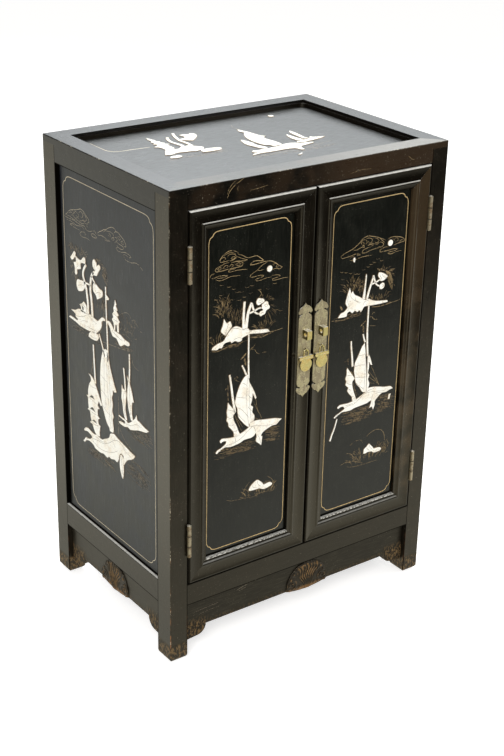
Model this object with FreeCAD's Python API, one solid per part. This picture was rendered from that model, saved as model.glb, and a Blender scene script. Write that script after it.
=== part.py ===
import FreeCAD
import Part

import os

# A black lacquered side cabinet: four full-height posts with short feet, top and bottom
# rails tenoned between them, a sunk top panel, sunk side and back panels, shaped aprons,
# one shelf, and two inset doors on butt hinges with long plates, staples and drop pulls.
#
# Millimetres. +X is to the right, +Y to the back, +Z up. The origin is on the floor, in
# the middle of the whole outline, so the case stands a little behind it: the door
# hardware reaches further forward than the case.

Vector = FreeCAD.Vector

# ---- Case ----
case_width = 508.0
case_depth = 356.0
case_height = 762.0
case_arris = 1.2            # rounding of the upright corners and the top's outer edge

# ---- Posts ----
post_width = 31.0           # across the front; the rails are as wide
post_extra_depth = 5.0      # front to back, beyond the width
foot_rounding = 8.0         # the foot's bottom edges
stub_size = 10.0            # square stub on a post's head, in the mitre above it
stub_height = 6.0

# ---- Top frame ----
front_top_rail_height = 32.0
side_top_rail_height = 37.5
lap_thickness = 10.0        # the part of a top rail that laps over the post's head
top_panel_sink = 10.6
top_bead_width = 3.0
top_bead_height = 6.0
top_bead_corner = 12.0      # inside corner radius of the bead
top_batten_width = 30.0
top_batten_height = 14.0

# ---- Bottom frame ----
bottom_rail_z = 96.0
front_bottom_rail_height = 37.0
side_bottom_rail_height = 40.0
bottom_board_thickness = 10.0
bottom_board_drop = 4.0     # from the front rail's top to the board
bottom_board_tongue = 6.0

# ---- Joints ----
tenon_length = 12.0
tenon_thickness = 8.0
tenon_inset = 11.0          # from the rail's outer face
tenon_shoulder = 3.0
joint_fit = 0.2             # round a tenon or stub
board_fit = 0.3             # round the edges of a loose board

# ---- Panels ----
panel_thickness = 8.0
panel_sink = 5.5            # behind the faces of posts and rails
groove_depth = 8.0

# ---- Aprons ----
apron_thickness = 12.0
apron_sink = 8.0
apron_edge_z = 45.0
bracket_foot_z = 26.0       # where the bracket meets the post
bracket_flat = 23.0         # from the post to the bracket's round corner
bracket_round = 17.0
boss_half_width = 41.0
boss_drop = 5.0             # below the apron's edge
boss_gap = 5.0              # from the boss's top to the rail
boss_relief = 1.2
front_boss_offset = 16.0

# ---- Shelf and stops ----
shelf_z = 423.0
shelf_thickness = 12.0
shelf_setback = 40.0        # from the case's front
cleat_height = 18.0
stop_size = 10.0
stop_gap = 0.5              # behind a closed door

# ---- Doors ----
door_thickness = 20.0
door_proud = 2.0            # in front of the case
door_gap = 1.5              # all round
meeting_gap = 3.0
door_edge_rounding = 3.0
dish_width = 18.0           # hollow face between the rounded edge and the bead
dish_depth = 1.5
dish_lowest = 9.9           # from the rounded edge to the hollow's deepest line
bead_radius = 3.9
bead_foot = 1.2             # depth of the bead's foot next to the hollow
ledge_depth = 2.4           # at the bead's inner foot
ledge_width = 5.2
ledge_fall = 0.6            # at the ledge's inner edge
ledge_middle_fall = 0.5     # half way: the ledge is slightly hollow
door_panel_depth = 8.0
door_groove_depth = 7.0
door_panel_thickness = 7.0

# ---- Hinges ----
hinge_height = 54.0
hinge_from_end = 77.0       # from the door's end to the hinge's middle
barrel_radius = 3.4
pin_radius = 1.5
pin_fit = 0.05
knuckle_gap = 0.3
leaf_thickness = 1.2
leaf_gap = 0.3
leaf_depth = 15.0           # from the case's front
leaf_clearance = 0.6        # between a leaf and the other leaf's knuckle
pin_head_radius = 2.4
pin_head_height = 1.2
screw_radius = 1.2
screw_head_radius = 2.4
screw_length = 12.0
screw_fit = 0.05
screw_spacing = 18.0
screw_from_front = 8.5
screw_stagger = 3.0

# ---- Plates and pulls ----
plate_width = 24.4
plate_length = 154.0
plate_thickness = 1.2
plate_inset = 1.4           # from the door's meeting edge
plate_centre_z = 475.5
plate_head_length = 17.0    # tip to the lower end of a head's lobes
plate_neck_width = 12.5
plate_shoulder = 26.0       # tip to where the body is full width
plate_widest = 12.2         # tip to where the lobes are widest
plate_spring = 5.1          # tip to where the ogee turns
plate_ogee_half_width = 5.1
plate_nub_half_width = 2.4  # the small point at the tip
plate_curl = 2.0            # size of the curls between head and body
nail_radius = 0.9
nail_head_radius = 1.7
nail_head_height = 0.8
nail_length = 9.0
outer_nail_offset = 68.0    # from the plate's middle
inner_nail_offset = 44.0
staple_width = 8.6
staple_height = 14.0
staple_reach = 12.0
staple_hole_radius = 3.2
staple_hole_reach = 6.5     # from the plate to the hole's middle
staple_rounding = 1.2
staple_above_centre = 28.5
staple_shank_radius = 2.4
eye_above_centre = 3.2
eye_reach = 4.5             # from the plate to the eye's middle
eye_ring_radius = 2.3
eye_wire_radius = 1.0
eye_shank_radius = 1.3
shank_fit = 0.05            # round nails and shanks
bail_wire_radius = 1.0
bail_half_width = 4.2
bail_height = 10.2          # from the pivot to the bar's top
bar_width = 26.0
bar_height = 6.0
bar_thickness = 4.0
bar_end_rounding = 2.0
bar_flute = 0.7
tab_radius = 10.8
tab_thickness = 2.4
tab_below_bar = 8.0

# ---- Worked out from the sizes above ----
diagonal_share = 0.5 ** 0.5     # sine and cosine of 45 degrees
post_depth = post_width + post_extra_depth
half_width = case_width / 2
front_reach = door_proud + plate_thickness + staple_reach
y_front = (front_reach - case_depth) / 2
y_rear = y_front + case_depth
post_x = half_width - post_width
post_top = case_height - lap_thickness
front_rail_bottom = case_height - front_top_rail_height
side_rail_bottom = case_height - side_top_rail_height
front_rail_top = bottom_rail_z + front_bottom_rail_height
side_rail_top = bottom_rail_z + side_bottom_rail_height
top_panel_top = case_height - top_panel_sink
top_panel_bottom = top_panel_top - panel_thickness
floor_top = front_rail_top - bottom_board_drop
floor_bottom = floor_top - bottom_board_thickness
panel_back = panel_sink + panel_thickness
door_x0 = -(post_x - door_gap)
door_x1 = -meeting_gap / 2
door_z0 = front_rail_top + door_gap
door_z1 = front_rail_bottom - door_gap
door_face = y_front - door_proud
door_back = door_face + door_thickness
bead_start = door_edge_rounding + dish_width
bead_crest = bead_start + (2 * bead_radius * bead_foot - bead_foot ** 2) ** 0.5
bead_end = bead_crest + (2 * bead_radius * ledge_depth - ledge_depth ** 2) ** 0.5
door_frame_width = bead_end + ledge_width
hinge_x = -(post_x - door_gap / 2)
hinge_y = y_front - barrel_radius
hinge_heights = (door_z0 + hinge_from_end, door_z1 - hinge_from_end)
leaf_offset = leaf_gap / 2
plate_x = door_x1 - plate_inset - plate_width / 2
plate_face = door_face - plate_thickness
staple_z = plate_centre_z + staple_above_centre
eye_y = plate_face - eye_reach
eye_z = plate_centre_z + eye_above_centre
nail_offsets = (-outer_nail_offset, -inner_nail_offset, inner_nail_offset, outer_nail_offset)


# ---- Helpers ----

def block(x, y, z):
    """Box between two values on each axis, given in either order."""
    low = Vector(min(x), min(y), min(z))
    return Part.makeBox(max(x) - low.x, max(y) - low.y, max(z) - low.z, low)


def rod(start, direction, radius, length):
    """Round bar from a point along a direction."""
    return Part.makeCylinder(radius, length, start, direction)


def prism(points, direction):
    """Straight-sided outline carried along a direction."""
    return Part.Face(Part.makePolygon(points + points[:1])).extrude(direction)


def outline_prism(edges, direction):
    """Outline of lines, arcs and curves carried along a direction."""
    return Part.Face(Part.Wire([edge.toShape() for edge in edges])).extrude(direction)


def line(start, end):
    return Part.LineSegment(start, end)


def arc(start, middle, end):
    return Part.Arc(start, middle, end)


def mirror_x(shape):
    """The same piece for the other side of the cabinet."""
    return shape.mirror(Vector(0, 0, 0), Vector(1, 0, 0))


def keep(shape):
    return shape


def place_on(side):
    """Hinges and doors are worked out for the left; the right ones are their mirror image."""
    return keep if side < 0 else mirror_x


def edge_y(end, distance):
    """Y at a distance inward from the case's front (end -1) or rear (end 1)."""
    return y_front + distance if end < 0 else y_rear - distance


def case_envelope():
    """The case's outer block, with its upright corners and top edges rounded."""
    whole = block((-half_width, half_width), (y_front, y_rear), (0, case_height))
    sharp = [edge for edge in whole.Edges if edge.BoundBox.ZMax > case_height / 2]
    return whole.makeFillet(case_arris, sharp)


envelope = case_envelope()


# ---- Joints between posts and rails ----

def cross_tenon(side, end, z, grow=0.0):
    """Tenon of a front or rear rail, in the post on one side."""
    x = (side * post_x, side * (post_x + tenon_length + grow))
    near = edge_y(end, tenon_inset - grow)
    far = edge_y(end, tenon_inset + tenon_thickness + grow)
    return block(x, (near, far), (z[0] - grow, z[1] + grow))


def side_tenon(side, end, z, grow=0.0):
    """Tenon of a side rail, in the front or rear post."""
    outer = side * (half_width - tenon_inset + grow)
    inner = side * (half_width - tenon_inset - tenon_thickness - grow)
    y = (edge_y(end, post_depth), edge_y(end, post_depth - tenon_length - grow))
    return block((outer, inner), y, (z[0] - grow, z[1] + grow))


def head_stub(side, end, grow=0.0):
    """Square stub on a post's head, centred on the mitre of the top rails."""
    middle = post_width / 2
    half = stub_size / 2 + grow
    x = (side * (half_width - middle - half), side * (half_width - middle + half))
    y = (edge_y(end, middle - half), edge_y(end, middle + half))
    return block(x, y, (post_top, post_top + stub_height + grow))


def tenon_span(low, high):
    """Height of a tenon, clear of the groove in its rail's edge."""
    return (low + groove_depth + tenon_shoulder, high - tenon_shoulder)


top_tenon_side = tenon_span(side_rail_bottom, post_top)
top_tenon_front = (front_rail_bottom + tenon_shoulder, post_top - tenon_shoulder)
bottom_tenon = (bottom_rail_z + tenon_shoulder, side_rail_top - groove_depth - tenon_shoulder)


def top_tenon(end):
    """Height of a front or rear top rail's tenon: only the rear rail has a groove."""
    return top_tenon_front if end < 0 else top_tenon_side


# ---- Grooves ----

def side_panel_space(side, low, high, y):
    """Space of a side panel's edge, in a post or a rail."""
    x = (side * (half_width - panel_sink), side * (half_width - panel_back - joint_fit))
    return block(x, y, (low, high))


def back_panel_space(x, low, high):
    """Space of the back panel's edge, in a post or a rail."""
    return block(x, (y_rear - panel_sink, y_rear - panel_back - joint_fit), (low, high))


# ---- Hinge spaces and screws ----

def hinge_screw_places(height):
    """Heights and depths of one leaf's three screws, set in a zigzag."""
    for step in (-1, 0, 1):
        back = screw_stagger if step else 0.0
        yield height + step * screw_spacing, y_front + screw_from_front - back


def screw(direction, z, y, fit=0.0):
    """Countersunk screw through a leaf: -1 goes into the post, 1 into the door."""
    face = Vector(hinge_x + direction * leaf_offset, y, z)
    axis = Vector(direction, 0, 0)
    head_depth = leaf_thickness
    head = Part.makeCone(screw_head_radius + fit, screw_radius + fit, head_depth, face, axis)
    stem_start = face + axis * head_depth
    stem = rod(stem_start, axis, screw_radius + fit, screw_length - head_depth + fit)
    return head.fuse(stem).removeSplitter()


def hinge_screws(direction):
    places = [place for height in hinge_heights for place in hinge_screw_places(height)]
    return [screw(direction, z, y) for z, y in places]


def hinge_spaces(direction):
    """What the hinges take out of the post (-1) or the door (1)."""
    near = hinge_x + direction * leaf_offset
    far = near + direction * leaf_thickness
    spaces = []
    for height in hinge_heights:
        z = (height - hinge_height / 2, height + hinge_height / 2)
        spaces.append(block((near, far), (hinge_y, y_front + leaf_depth), z))
        start = Vector(hinge_x, hinge_y, z[0] - knuckle_gap)
        barrel_space = barrel_radius + leaf_clearance
        spaces.append(rod(start, Vector(0, 0, 1), barrel_space, hinge_height + 2 * knuckle_gap))
        for screw_z, screw_y in hinge_screw_places(height):
            spaces.append(screw(direction, screw_z, screw_y, screw_fit))
    return spaces


# ---- Posts ----

def post(side, end):
    """Post with a rounded foot, mortises, panel grooves and a head stub."""
    outer_x = side * half_width
    y = (edge_y(end, 0), edge_y(end, post_depth))
    body = block((outer_x, side * post_x), y, (0, post_top))
    bottom = [edge for edge in body.Edges if edge.BoundBox.ZMax < foot_rounding]
    body = body.makeFillet(foot_rounding, bottom).common(envelope)
    body = body.fuse(head_stub(side, end))

    cuts = [
        cross_tenon(side, end, top_tenon(end), joint_fit),
        side_tenon(side, end, top_tenon_side, joint_fit),
        cross_tenon(side, end, bottom_tenon, joint_fit),
        side_tenon(side, end, bottom_tenon, joint_fit),
    ]
    groove_low = side_rail_top - groove_depth
    groove_high = side_rail_bottom + groove_depth
    groove_y = (edge_y(end, post_depth), edge_y(end, post_depth - groove_depth))
    cuts.append(side_panel_space(side, groove_low, groove_high, groove_y))
    if end > 0:
        groove_x = (side * post_x, side * (post_x + groove_depth))
        cuts.append(back_panel_space(groove_x, groove_low, groove_high))
    else:
        cuts += [place_on(side)(space) for space in hinge_spaces(-1)]
    return body.cut(cuts).removeSplitter()


# ---- Top frame ----

def mitred_lap(corners):
    """The part of a top rail that laps over the posts' heads, mitred at both ends."""
    points = [Vector(x, y, post_top) for x, y in corners]
    return prism(points, Vector(0, 0, lap_thickness))


def front_or_rear_top_rail(end):
    low = front_rail_bottom if end < 0 else side_rail_bottom
    outer = edge_y(end, 0)
    inner = edge_y(end, post_width)
    body = block((-post_x, post_x), (outer, inner), (low, case_height))
    lap = mitred_lap([
        (-half_width, outer), (half_width, outer), (post_x, inner), (-post_x, inner)
    ])
    tenons = [cross_tenon(side, end, top_tenon(end)) for side in (-1, 1)]
    rail = body.fuse([lap] + tenons)

    groove_y = (inner, edge_y(end, post_width - groove_depth))
    groove_z = (top_panel_bottom, top_panel_top + joint_fit)
    cuts = [head_stub(side, end, joint_fit) for side in (-1, 1)]
    cuts.append(block((-post_x, post_x), groove_y, groove_z))
    if end > 0:
        cuts.append(back_panel_space((-post_x, post_x), low, low + groove_depth))
    return rail.cut(cuts).common(envelope).removeSplitter()


def side_top_rail(side):
    low = side_rail_bottom
    outer = side * half_width
    inner = side * post_x
    y = (edge_y(-1, post_depth), edge_y(1, post_depth))
    body = block((outer, inner), y, (low, case_height))
    lap = mitred_lap([
        (outer, y_front), (outer, y_rear), (inner, y_rear - post_width),
        (inner, y_front + post_width)
    ])
    tenons = [side_tenon(side, end, top_tenon_side) for end in (-1, 1)]
    rail = body.fuse([lap] + tenons)

    groove_x = (inner, side * (post_x + groove_depth))
    groove_z = (top_panel_bottom, top_panel_top + joint_fit)
    cuts = [head_stub(side, end, joint_fit) for end in (-1, 1)]
    cuts.append(block(groove_x, y, groove_z))
    cuts.append(side_panel_space(side, low, low + groove_depth, y))
    return rail.cut(cuts).common(envelope).removeSplitter()


def post_notches(z):
    """Spaces round the four posts, taken out of a board's corners."""
    x = post_x - board_fit
    y = post_depth + board_fit
    return [block((side * x, side * half_width), (edge_y(end, 0), edge_y(end, y)), z)
            for side in (-1, 1) for end in (-1, 1)]


def top_panel():
    """Board in the top rails' grooves, notched round the posts' heads."""
    reach = groove_depth - board_fit
    x = post_x + reach
    y = post_width - reach
    z = (top_panel_bottom, top_panel_top)
    board = block((-x, x), (edge_y(-1, y), edge_y(1, y)), z)
    return board.cut(post_notches(z)).removeSplitter()


def top_bead():
    """Thin frame that covers the top panel's edge, round inside its corners."""
    x = post_x - joint_fit
    y = post_width + joint_fit
    z = (top_panel_top, top_panel_top + top_bead_height)
    outer = block((-x, x), (edge_y(-1, y), edge_y(1, y)), z)
    inner_x = x - top_bead_width
    inner_y = y + top_bead_width
    inner = block((-inner_x, inner_x), (edge_y(-1, inner_y), edge_y(1, inner_y)), z)
    upright = [edge for edge in inner.Edges if edge.BoundBox.ZLength > top_bead_height / 2]
    return outer.cut(inner.makeFillet(top_bead_corner, upright))


def top_batten():
    y = (edge_y(-1, post_width), edge_y(1, post_width))
    z = (top_panel_bottom - top_batten_height, top_panel_bottom)
    return block((-top_batten_width / 2, top_batten_width / 2), y, z)


# ---- Bottom frame ----

def floor_space(x, y):
    """Groove for the bottom board's tongue."""
    return block(x, y, (floor_bottom, floor_top + joint_fit))


def front_or_rear_bottom_rail(end):
    high = front_rail_top if end < 0 else side_rail_top
    y = (edge_y(end, 0), edge_y(end, post_width))
    body = block((-post_x, post_x), y, (bottom_rail_z, high))
    body = body.fuse([cross_tenon(side, end, bottom_tenon) for side in (-1, 1)])
    tongue_y = (edge_y(end, post_width), edge_y(end, post_width - bottom_board_tongue))
    cuts = [floor_space((-post_x, post_x), tongue_y)]
    if end > 0:
        cuts.append(back_panel_space((-post_x, post_x), high - groove_depth, high))
    return body.cut(cuts).removeSplitter()


def side_bottom_rail(side):
    y = (edge_y(-1, post_depth), edge_y(1, post_depth))
    body = block((side * half_width, side * post_x), y, (bottom_rail_z, side_rail_top))
    body = body.fuse([side_tenon(side, end, bottom_tenon) for end in (-1, 1)])
    tongue_x = (side * post_x, side * (post_x + bottom_board_tongue))
    cuts = [floor_space(tongue_x, y)]
    cuts.append(side_panel_space(side, side_rail_top - groove_depth, side_rail_top, y))
    return body.cut(cuts).removeSplitter()


def bottom_board():
    """Floor of the cabinet, in the bottom rails' grooves, notched round the posts."""
    reach = bottom_board_tongue - board_fit
    x = post_x + reach
    y = post_width - reach
    z = (floor_bottom, floor_top)
    board = block((-x, x), (edge_y(-1, y), edge_y(1, y)), z)
    return board.cut(post_notches(z)).removeSplitter()


# ---- Panels ----

def side_panel(side):
    x = (side * (half_width - panel_sink), side * (half_width - panel_back))
    reach = groove_depth - board_fit
    y = (edge_y(-1, post_depth - reach), edge_y(1, post_depth - reach))
    return block(x, y, (side_rail_top - reach, side_rail_bottom + reach))


def back_panel():
    reach = groove_depth - board_fit
    x = post_x + reach
    y = (y_rear - panel_sink, y_rear - panel_back)
    return block((-x, x), y, (side_rail_top - reach, side_rail_bottom + reach))


# ---- Aprons ----

def bracket(sign, half_span, at):
    """Edges of one end of the apron: a shallow fall to the post and a round corner."""
    knee = half_span - bracket_flat
    end = knee - bracket_round
    knee_z = apron_edge_z - bracket_round
    cut_back = bracket_round * diagonal_share
    middle = at(sign * (knee - cut_back), apron_edge_z - cut_back)
    foot = line(at(sign * half_span, bracket_foot_z), at(sign * knee, knee_z))
    corner = arc(at(sign * knee, knee_z), middle, at(sign * end, apron_edge_z))
    return [foot, corner], end


def apron_outline(half_span, boss_offset, at):
    """Apron between two posts: a bracket at each end and a hanging lobe in the middle."""
    left, end = bracket(-1, half_span, at)
    right, end = bracket(1, half_span, at)
    lobe_start = at(boss_offset - boss_half_width, apron_edge_z)
    lobe_end = at(boss_offset + boss_half_width, apron_edge_z)
    top_left = at(-half_span, bottom_rail_z)
    top_right = at(half_span, bottom_rail_z)
    return [line(top_left, at(-half_span, bracket_foot_z))] + left + [
        line(at(-end, apron_edge_z), lobe_start),
        arc(lobe_start, at(boss_offset, apron_edge_z - boss_drop), lobe_end),
        line(lobe_end, at(end, apron_edge_z)),
    ] + right[::-1] + [
        line(at(half_span, bracket_foot_z), top_right),
        line(top_right, top_left),
    ]


def boss_outline(boss_offset, at):
    """Half-round field of the carving, from the apron's lobe up to near the rail."""
    start = at(boss_offset - boss_half_width, apron_edge_z)
    end = at(boss_offset + boss_half_width, apron_edge_z)
    over = arc(start, at(boss_offset, bottom_rail_z - boss_gap), end)
    under = arc(end, at(boss_offset, apron_edge_z - boss_drop), start)
    return [over, under]


def front_apron():
    face = y_front + apron_sink

    def at(along, z):
        return Vector(along, face, z)

    def raised(along, z):
        return Vector(along, face - boss_relief, z)

    board = outline_prism(apron_outline(post_x, front_boss_offset, at), Vector(0, apron_thickness, 0))
    relief = Vector(0, boss_relief + apron_thickness / 2, 0)
    return board.fuse(outline_prism(boss_outline(front_boss_offset, raised), relief)).removeSplitter()


def side_apron(side):
    face = side * (half_width - apron_sink)
    middle = (y_front + y_rear) / 2
    half_span = case_depth / 2 - post_depth

    def at(along, z):
        return Vector(face, middle + along, z)

    def raised(along, z):
        return Vector(face + side * boss_relief, middle + along, z)

    board = outline_prism(apron_outline(half_span, 0.0, at), Vector(-side * apron_thickness, 0, 0))
    relief = Vector(-side * (boss_relief + apron_thickness / 2), 0, 0)
    return board.fuse(outline_prism(boss_outline(0.0, raised), relief)).removeSplitter()


# ---- Inside ----

def shelf():
    x = half_width - panel_back - board_fit
    rear = panel_back + board_fit
    z = (shelf_z, shelf_z + shelf_thickness)
    board = block((-x, x), (y_front + shelf_setback, edge_y(1, rear)), z)
    return board.cut(post_notches(z))


def shelf_cleat(side):
    x = (side * (half_width - panel_back), side * post_x)
    y = (edge_y(-1, post_depth), edge_y(1, post_depth))
    return block(x, y, (shelf_z - cleat_height, shelf_z))


def door_stop(z):
    """Strip that a closed door comes up against."""
    front = door_back + stop_gap
    return block((-post_x, post_x), (front, front + stop_size), z)


# ---- Doors ----

def door_profile(at):
    """Section of the moulded frame: at(s, t) places a point s in from the door's edge
    and t behind its face. Rounded edge, hollow, bead, ledge, then the panel's groove."""
    radius = door_edge_rounding
    cut_back = radius * (1 - diagonal_share)
    inner = door_frame_width
    groove = inner - door_groove_depth
    groove_back = door_panel_depth + door_panel_thickness + joint_fit
    ledge_end = ledge_depth + ledge_fall
    dish_end = (bead_start, bead_foot)
    hollow = at(radius + dish_lowest, dish_depth)
    ledge_hollow = at(bead_end + ledge_width / 2, ledge_depth + ledge_middle_fall)
    edges = [
        line(at(inner, door_thickness), at(0, door_thickness)),
        line(at(0, door_thickness), at(0, radius)),
        arc(at(0, radius), at(cut_back, cut_back), at(radius, 0)),
        arc(at(radius, 0), hollow, at(*dish_end)),
        arc(at(*dish_end), at(bead_crest, 0), at(bead_end, ledge_depth)),
        arc(at(bead_end, ledge_depth), ledge_hollow, at(inner, ledge_end)),
    ]
    rest = [
        (inner, ledge_end), (inner, door_panel_depth), (groove, door_panel_depth),
        (groove, groove_back), (inner, groove_back), (inner, door_thickness),
    ]
    return edges + [line(at(*a), at(*b)) for a, b in zip(rest, rest[1:])]


def mitre_wedge(corners):
    """Trapezium of one frame member, a little deeper than the door."""
    points = [Vector(x, door_face - door_proud, z) for x, z in corners]
    return prism(points, Vector(0, door_thickness + 2 * door_proud, 0))


def door_members():
    """The left door's two stiles and two rails, mitred at the corners."""
    x0, x1, z0, z1 = door_x0, door_x1, door_z0, door_z1
    w = door_frame_width
    up = Vector(0, 0, z1 - z0)
    across = Vector(x1 - x0, 0, 0)
    inner = [(x0 + w, z0 + w), (x1 - w, z0 + w), (x1 - w, z1 - w), (x0 + w, z1 - w)]
    outer = [(x0, z0), (x1, z0), (x1, z1), (x0, z1)]

    def hinge_side(s, t):
        return Vector(x0 + s, door_face + t, z0)

    def meeting_side(s, t):
        return Vector(x1 - s, door_face + t, z0)

    def low_side(s, t):
        return Vector(x0, door_face + t, z0 + s)

    def high_side(s, t):
        return Vector(x0, door_face + t, z1 - s)

    plan = (
        ("hinge_stile", hinge_side, up, (3, 0)),
        ("meeting_stile", meeting_side, up, (1, 2)),
        ("bottom_rail", low_side, across, (0, 1)),
        ("top_rail", high_side, across, (2, 3)),
    )
    members = {}
    for name, at, run, (first, last) in plan:
        wedge = mitre_wedge([outer[first], outer[last], inner[last], inner[first]])
        members[name] = outline_prism(door_profile(at), run).common(wedge)
    members["hinge_stile"] = members["hinge_stile"].cut(hinge_spaces(1))
    members["meeting_stile"] = members["meeting_stile"].cut(hardware_holes())
    return {name: shape.removeSplitter() for name, shape in members.items()}


def door_panel():
    reach = door_groove_depth - board_fit
    inset = door_frame_width - reach
    y = door_face + door_panel_depth
    x = (door_x0 + inset, door_x1 - inset)
    return block(x, (y, y + door_panel_thickness), (door_z0 + inset, door_z1 - inset))


# ---- Hinges ----

def knuckles(height):
    """Three stretches of a hinge's barrel, from the bottom up."""
    length = (hinge_height - 2 * knuckle_gap) / 3
    low = height - hinge_height / 2
    return [(low + n * (length + knuckle_gap), length) for n in range(3)]


def hinge_leaf(direction, height):
    """One leaf: the post's (-1) has the outer knuckles, the door's (1) the middle one."""
    near = hinge_x + direction * leaf_offset
    far = near + direction * leaf_thickness
    back = y_front + leaf_depth
    clear_y = hinge_y + barrel_radius + leaf_clearance
    low = height - hinge_height / 2
    leaf = block((near, far), (clear_y, back), (low, low + hinge_height))
    stretches = knuckles(height)
    mine = stretches[1:2] if direction > 0 else stretches[0::2]
    axis = Vector(0, 0, 1)
    for start, length in mine:
        barrel = rod(Vector(hinge_x, hinge_y, start), axis, barrel_radius, length)
        tab = block((near, far), (hinge_y, clear_y), (start, start + length))
        leaf = leaf.fuse([barrel, tab])
    bore = rod(Vector(hinge_x, hinge_y, low), axis, pin_radius + pin_fit, hinge_height)
    holes = [screw(direction, z, y, screw_fit) for z, y in hinge_screw_places(height)]
    return leaf.cut([bore] + holes).removeSplitter()


def hinge_pin(height):
    """Pin with a low round head at each end, just clear of the barrel."""
    axis = Vector(0, 0, 1)
    low = Vector(hinge_x, hinge_y, height - hinge_height / 2 - pin_fit)
    length = hinge_height + 2 * pin_fit
    stem = rod(low, axis, pin_radius, length)
    foot = Part.makeCone(pin_head_radius, pin_radius, pin_head_height, low, -axis)
    head = Part.makeCone(pin_head_radius, pin_radius, pin_head_height, low + axis * length, axis)
    return stem.fuse([foot, head]).removeSplitter()


# ---- Plates, staples and pulls ----

def plate_end(sign):
    """Edges of one end of the plate, from the shoulder on one side round the head to the
    shoulder on the other: a hooked notch, a round lobe and an ogee up to the tip."""
    half = plate_width / 2
    neck = plate_neck_width / 2
    curl = plate_curl
    tip = plate_length / 2
    lobe_end = tip - plate_head_length
    shoulder = tip - plate_shoulder
    widest = tip - plate_widest
    spring = tip - plate_spring

    def flank(side):
        def at(x, z):
            return Vector(plate_x + sign * side * x, plate_face, plate_centre_z + sign * z)

        shoulder_swell = at(half - 0.7 * curl, (shoulder + lobe_end) / 2 + 0.3 * curl)
        lobe_swell = at(half - 1.5 * curl, (widest + spring) / 2 + 0.6 * curl)
        notch = at(neck, lobe_end - 0.4 * curl)
        hook = at(neck + 0.6 * curl, lobe_end + 0.8 * curl)
        ogee = at(plate_ogee_half_width, spring)
        return [
            arc(at(half, shoulder), shoulder_swell, notch),
            arc(notch, at(neck - 0.3 * curl, lobe_end + 0.45 * curl), hook),
            arc(hook, at(half - curl, lobe_end), at(half, widest)),
            arc(at(half, widest), lobe_swell, ogee),
            arc(ogee, at(plate_nub_half_width, spring + curl), at(0, tip)),
        ]

    rising = flank(1)
    falling = flank(-1)
    for edge in falling:
        edge.reverse()
    return rising + falling[::-1]


def plate_blank():
    """The whole plate: two ornamental ends joined by straight sides."""
    half = plate_width / 2
    straight = plate_length / 2 - plate_shoulder

    def at(x, z):
        return Vector(plate_x + x, plate_face, plate_centre_z + z)

    edges = plate_end(1) + [line(at(-half, straight), at(-half, -straight))]
    edges += plate_end(-1) + [line(at(half, -straight), at(half, straight))]
    return outline_prism(edges, Vector(0, plate_thickness, 0))


def nail(offset, fit=0.0):
    """Round-headed nail through the plate; fit widens it into its hole."""
    face = Vector(plate_x, plate_face, plate_centre_z + offset)
    stem = rod(face, Vector(0, 1, 0), nail_radius + fit, nail_length + fit)
    if fit:
        return stem
    sphere_radius = (nail_head_radius ** 2 + nail_head_height ** 2) / (2 * nail_head_height)
    ball = Part.makeSphere(sphere_radius, face + Vector(0, sphere_radius - nail_head_height, 0))
    front = block((face.x - nail_head_radius, face.x + nail_head_radius),
                  (face.y - nail_head_height, face.y),
                  (face.z - nail_head_radius, face.z + nail_head_radius))
    return stem.fuse(ball.common(front))


def shank(radius, z, fit=0.0):
    """Round shank through the plate and the whole stile."""
    start = Vector(plate_x, plate_face - fit, z)
    return rod(start, Vector(0, 1, 0), radius + fit, plate_thickness + door_thickness + 2 * fit)


def hardware_holes():
    """Holes for the nails, staple and eye pin, through the plate and the stile."""
    nails = [nail(offset, shank_fit) for offset in nail_offsets]
    staple_hole = shank(staple_shank_radius, staple_z, shank_fit)
    return nails + [staple_hole, shank(eye_shank_radius, eye_z, shank_fit)]


def plate():
    return plate_blank().cut(hardware_holes())


def staple():
    """Block that takes the bar of a padlock through its cross hole."""
    front = plate_face - staple_reach
    x = (plate_x - staple_width / 2, plate_x + staple_width / 2)
    z = (staple_z - staple_height / 2, staple_z + staple_height / 2)
    body = block(x, (front, plate_face), z)
    nose = [edge for edge in body.Edges
            if edge.BoundBox.YMax < front + staple_rounding
            and edge.BoundBox.XLength > staple_width / 2]
    body = body.makeFillet(staple_rounding, nose)
    hole_start = Vector(x[0], plate_face - staple_hole_reach, staple_z)
    hole = rod(hole_start, Vector(1, 0, 0), staple_hole_radius, staple_width)
    return body.cut(hole).fuse(shank(staple_shank_radius, staple_z)).removeSplitter()


def eye_pin():
    """Pin with a round eye for the pull's bail."""
    centre = Vector(plate_x, eye_y, eye_z)
    ring = Part.makeTorus(eye_ring_radius, eye_wire_radius, centre, Vector(1, 0, 0))
    neck_start = Vector(plate_x, eye_y + eye_ring_radius, eye_z)
    neck = rod(neck_start, Vector(0, 1, 0), eye_shank_radius, eye_reach - eye_ring_radius)
    return ring.fuse([neck, shank(eye_shank_radius, eye_z)]).removeSplitter()


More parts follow.
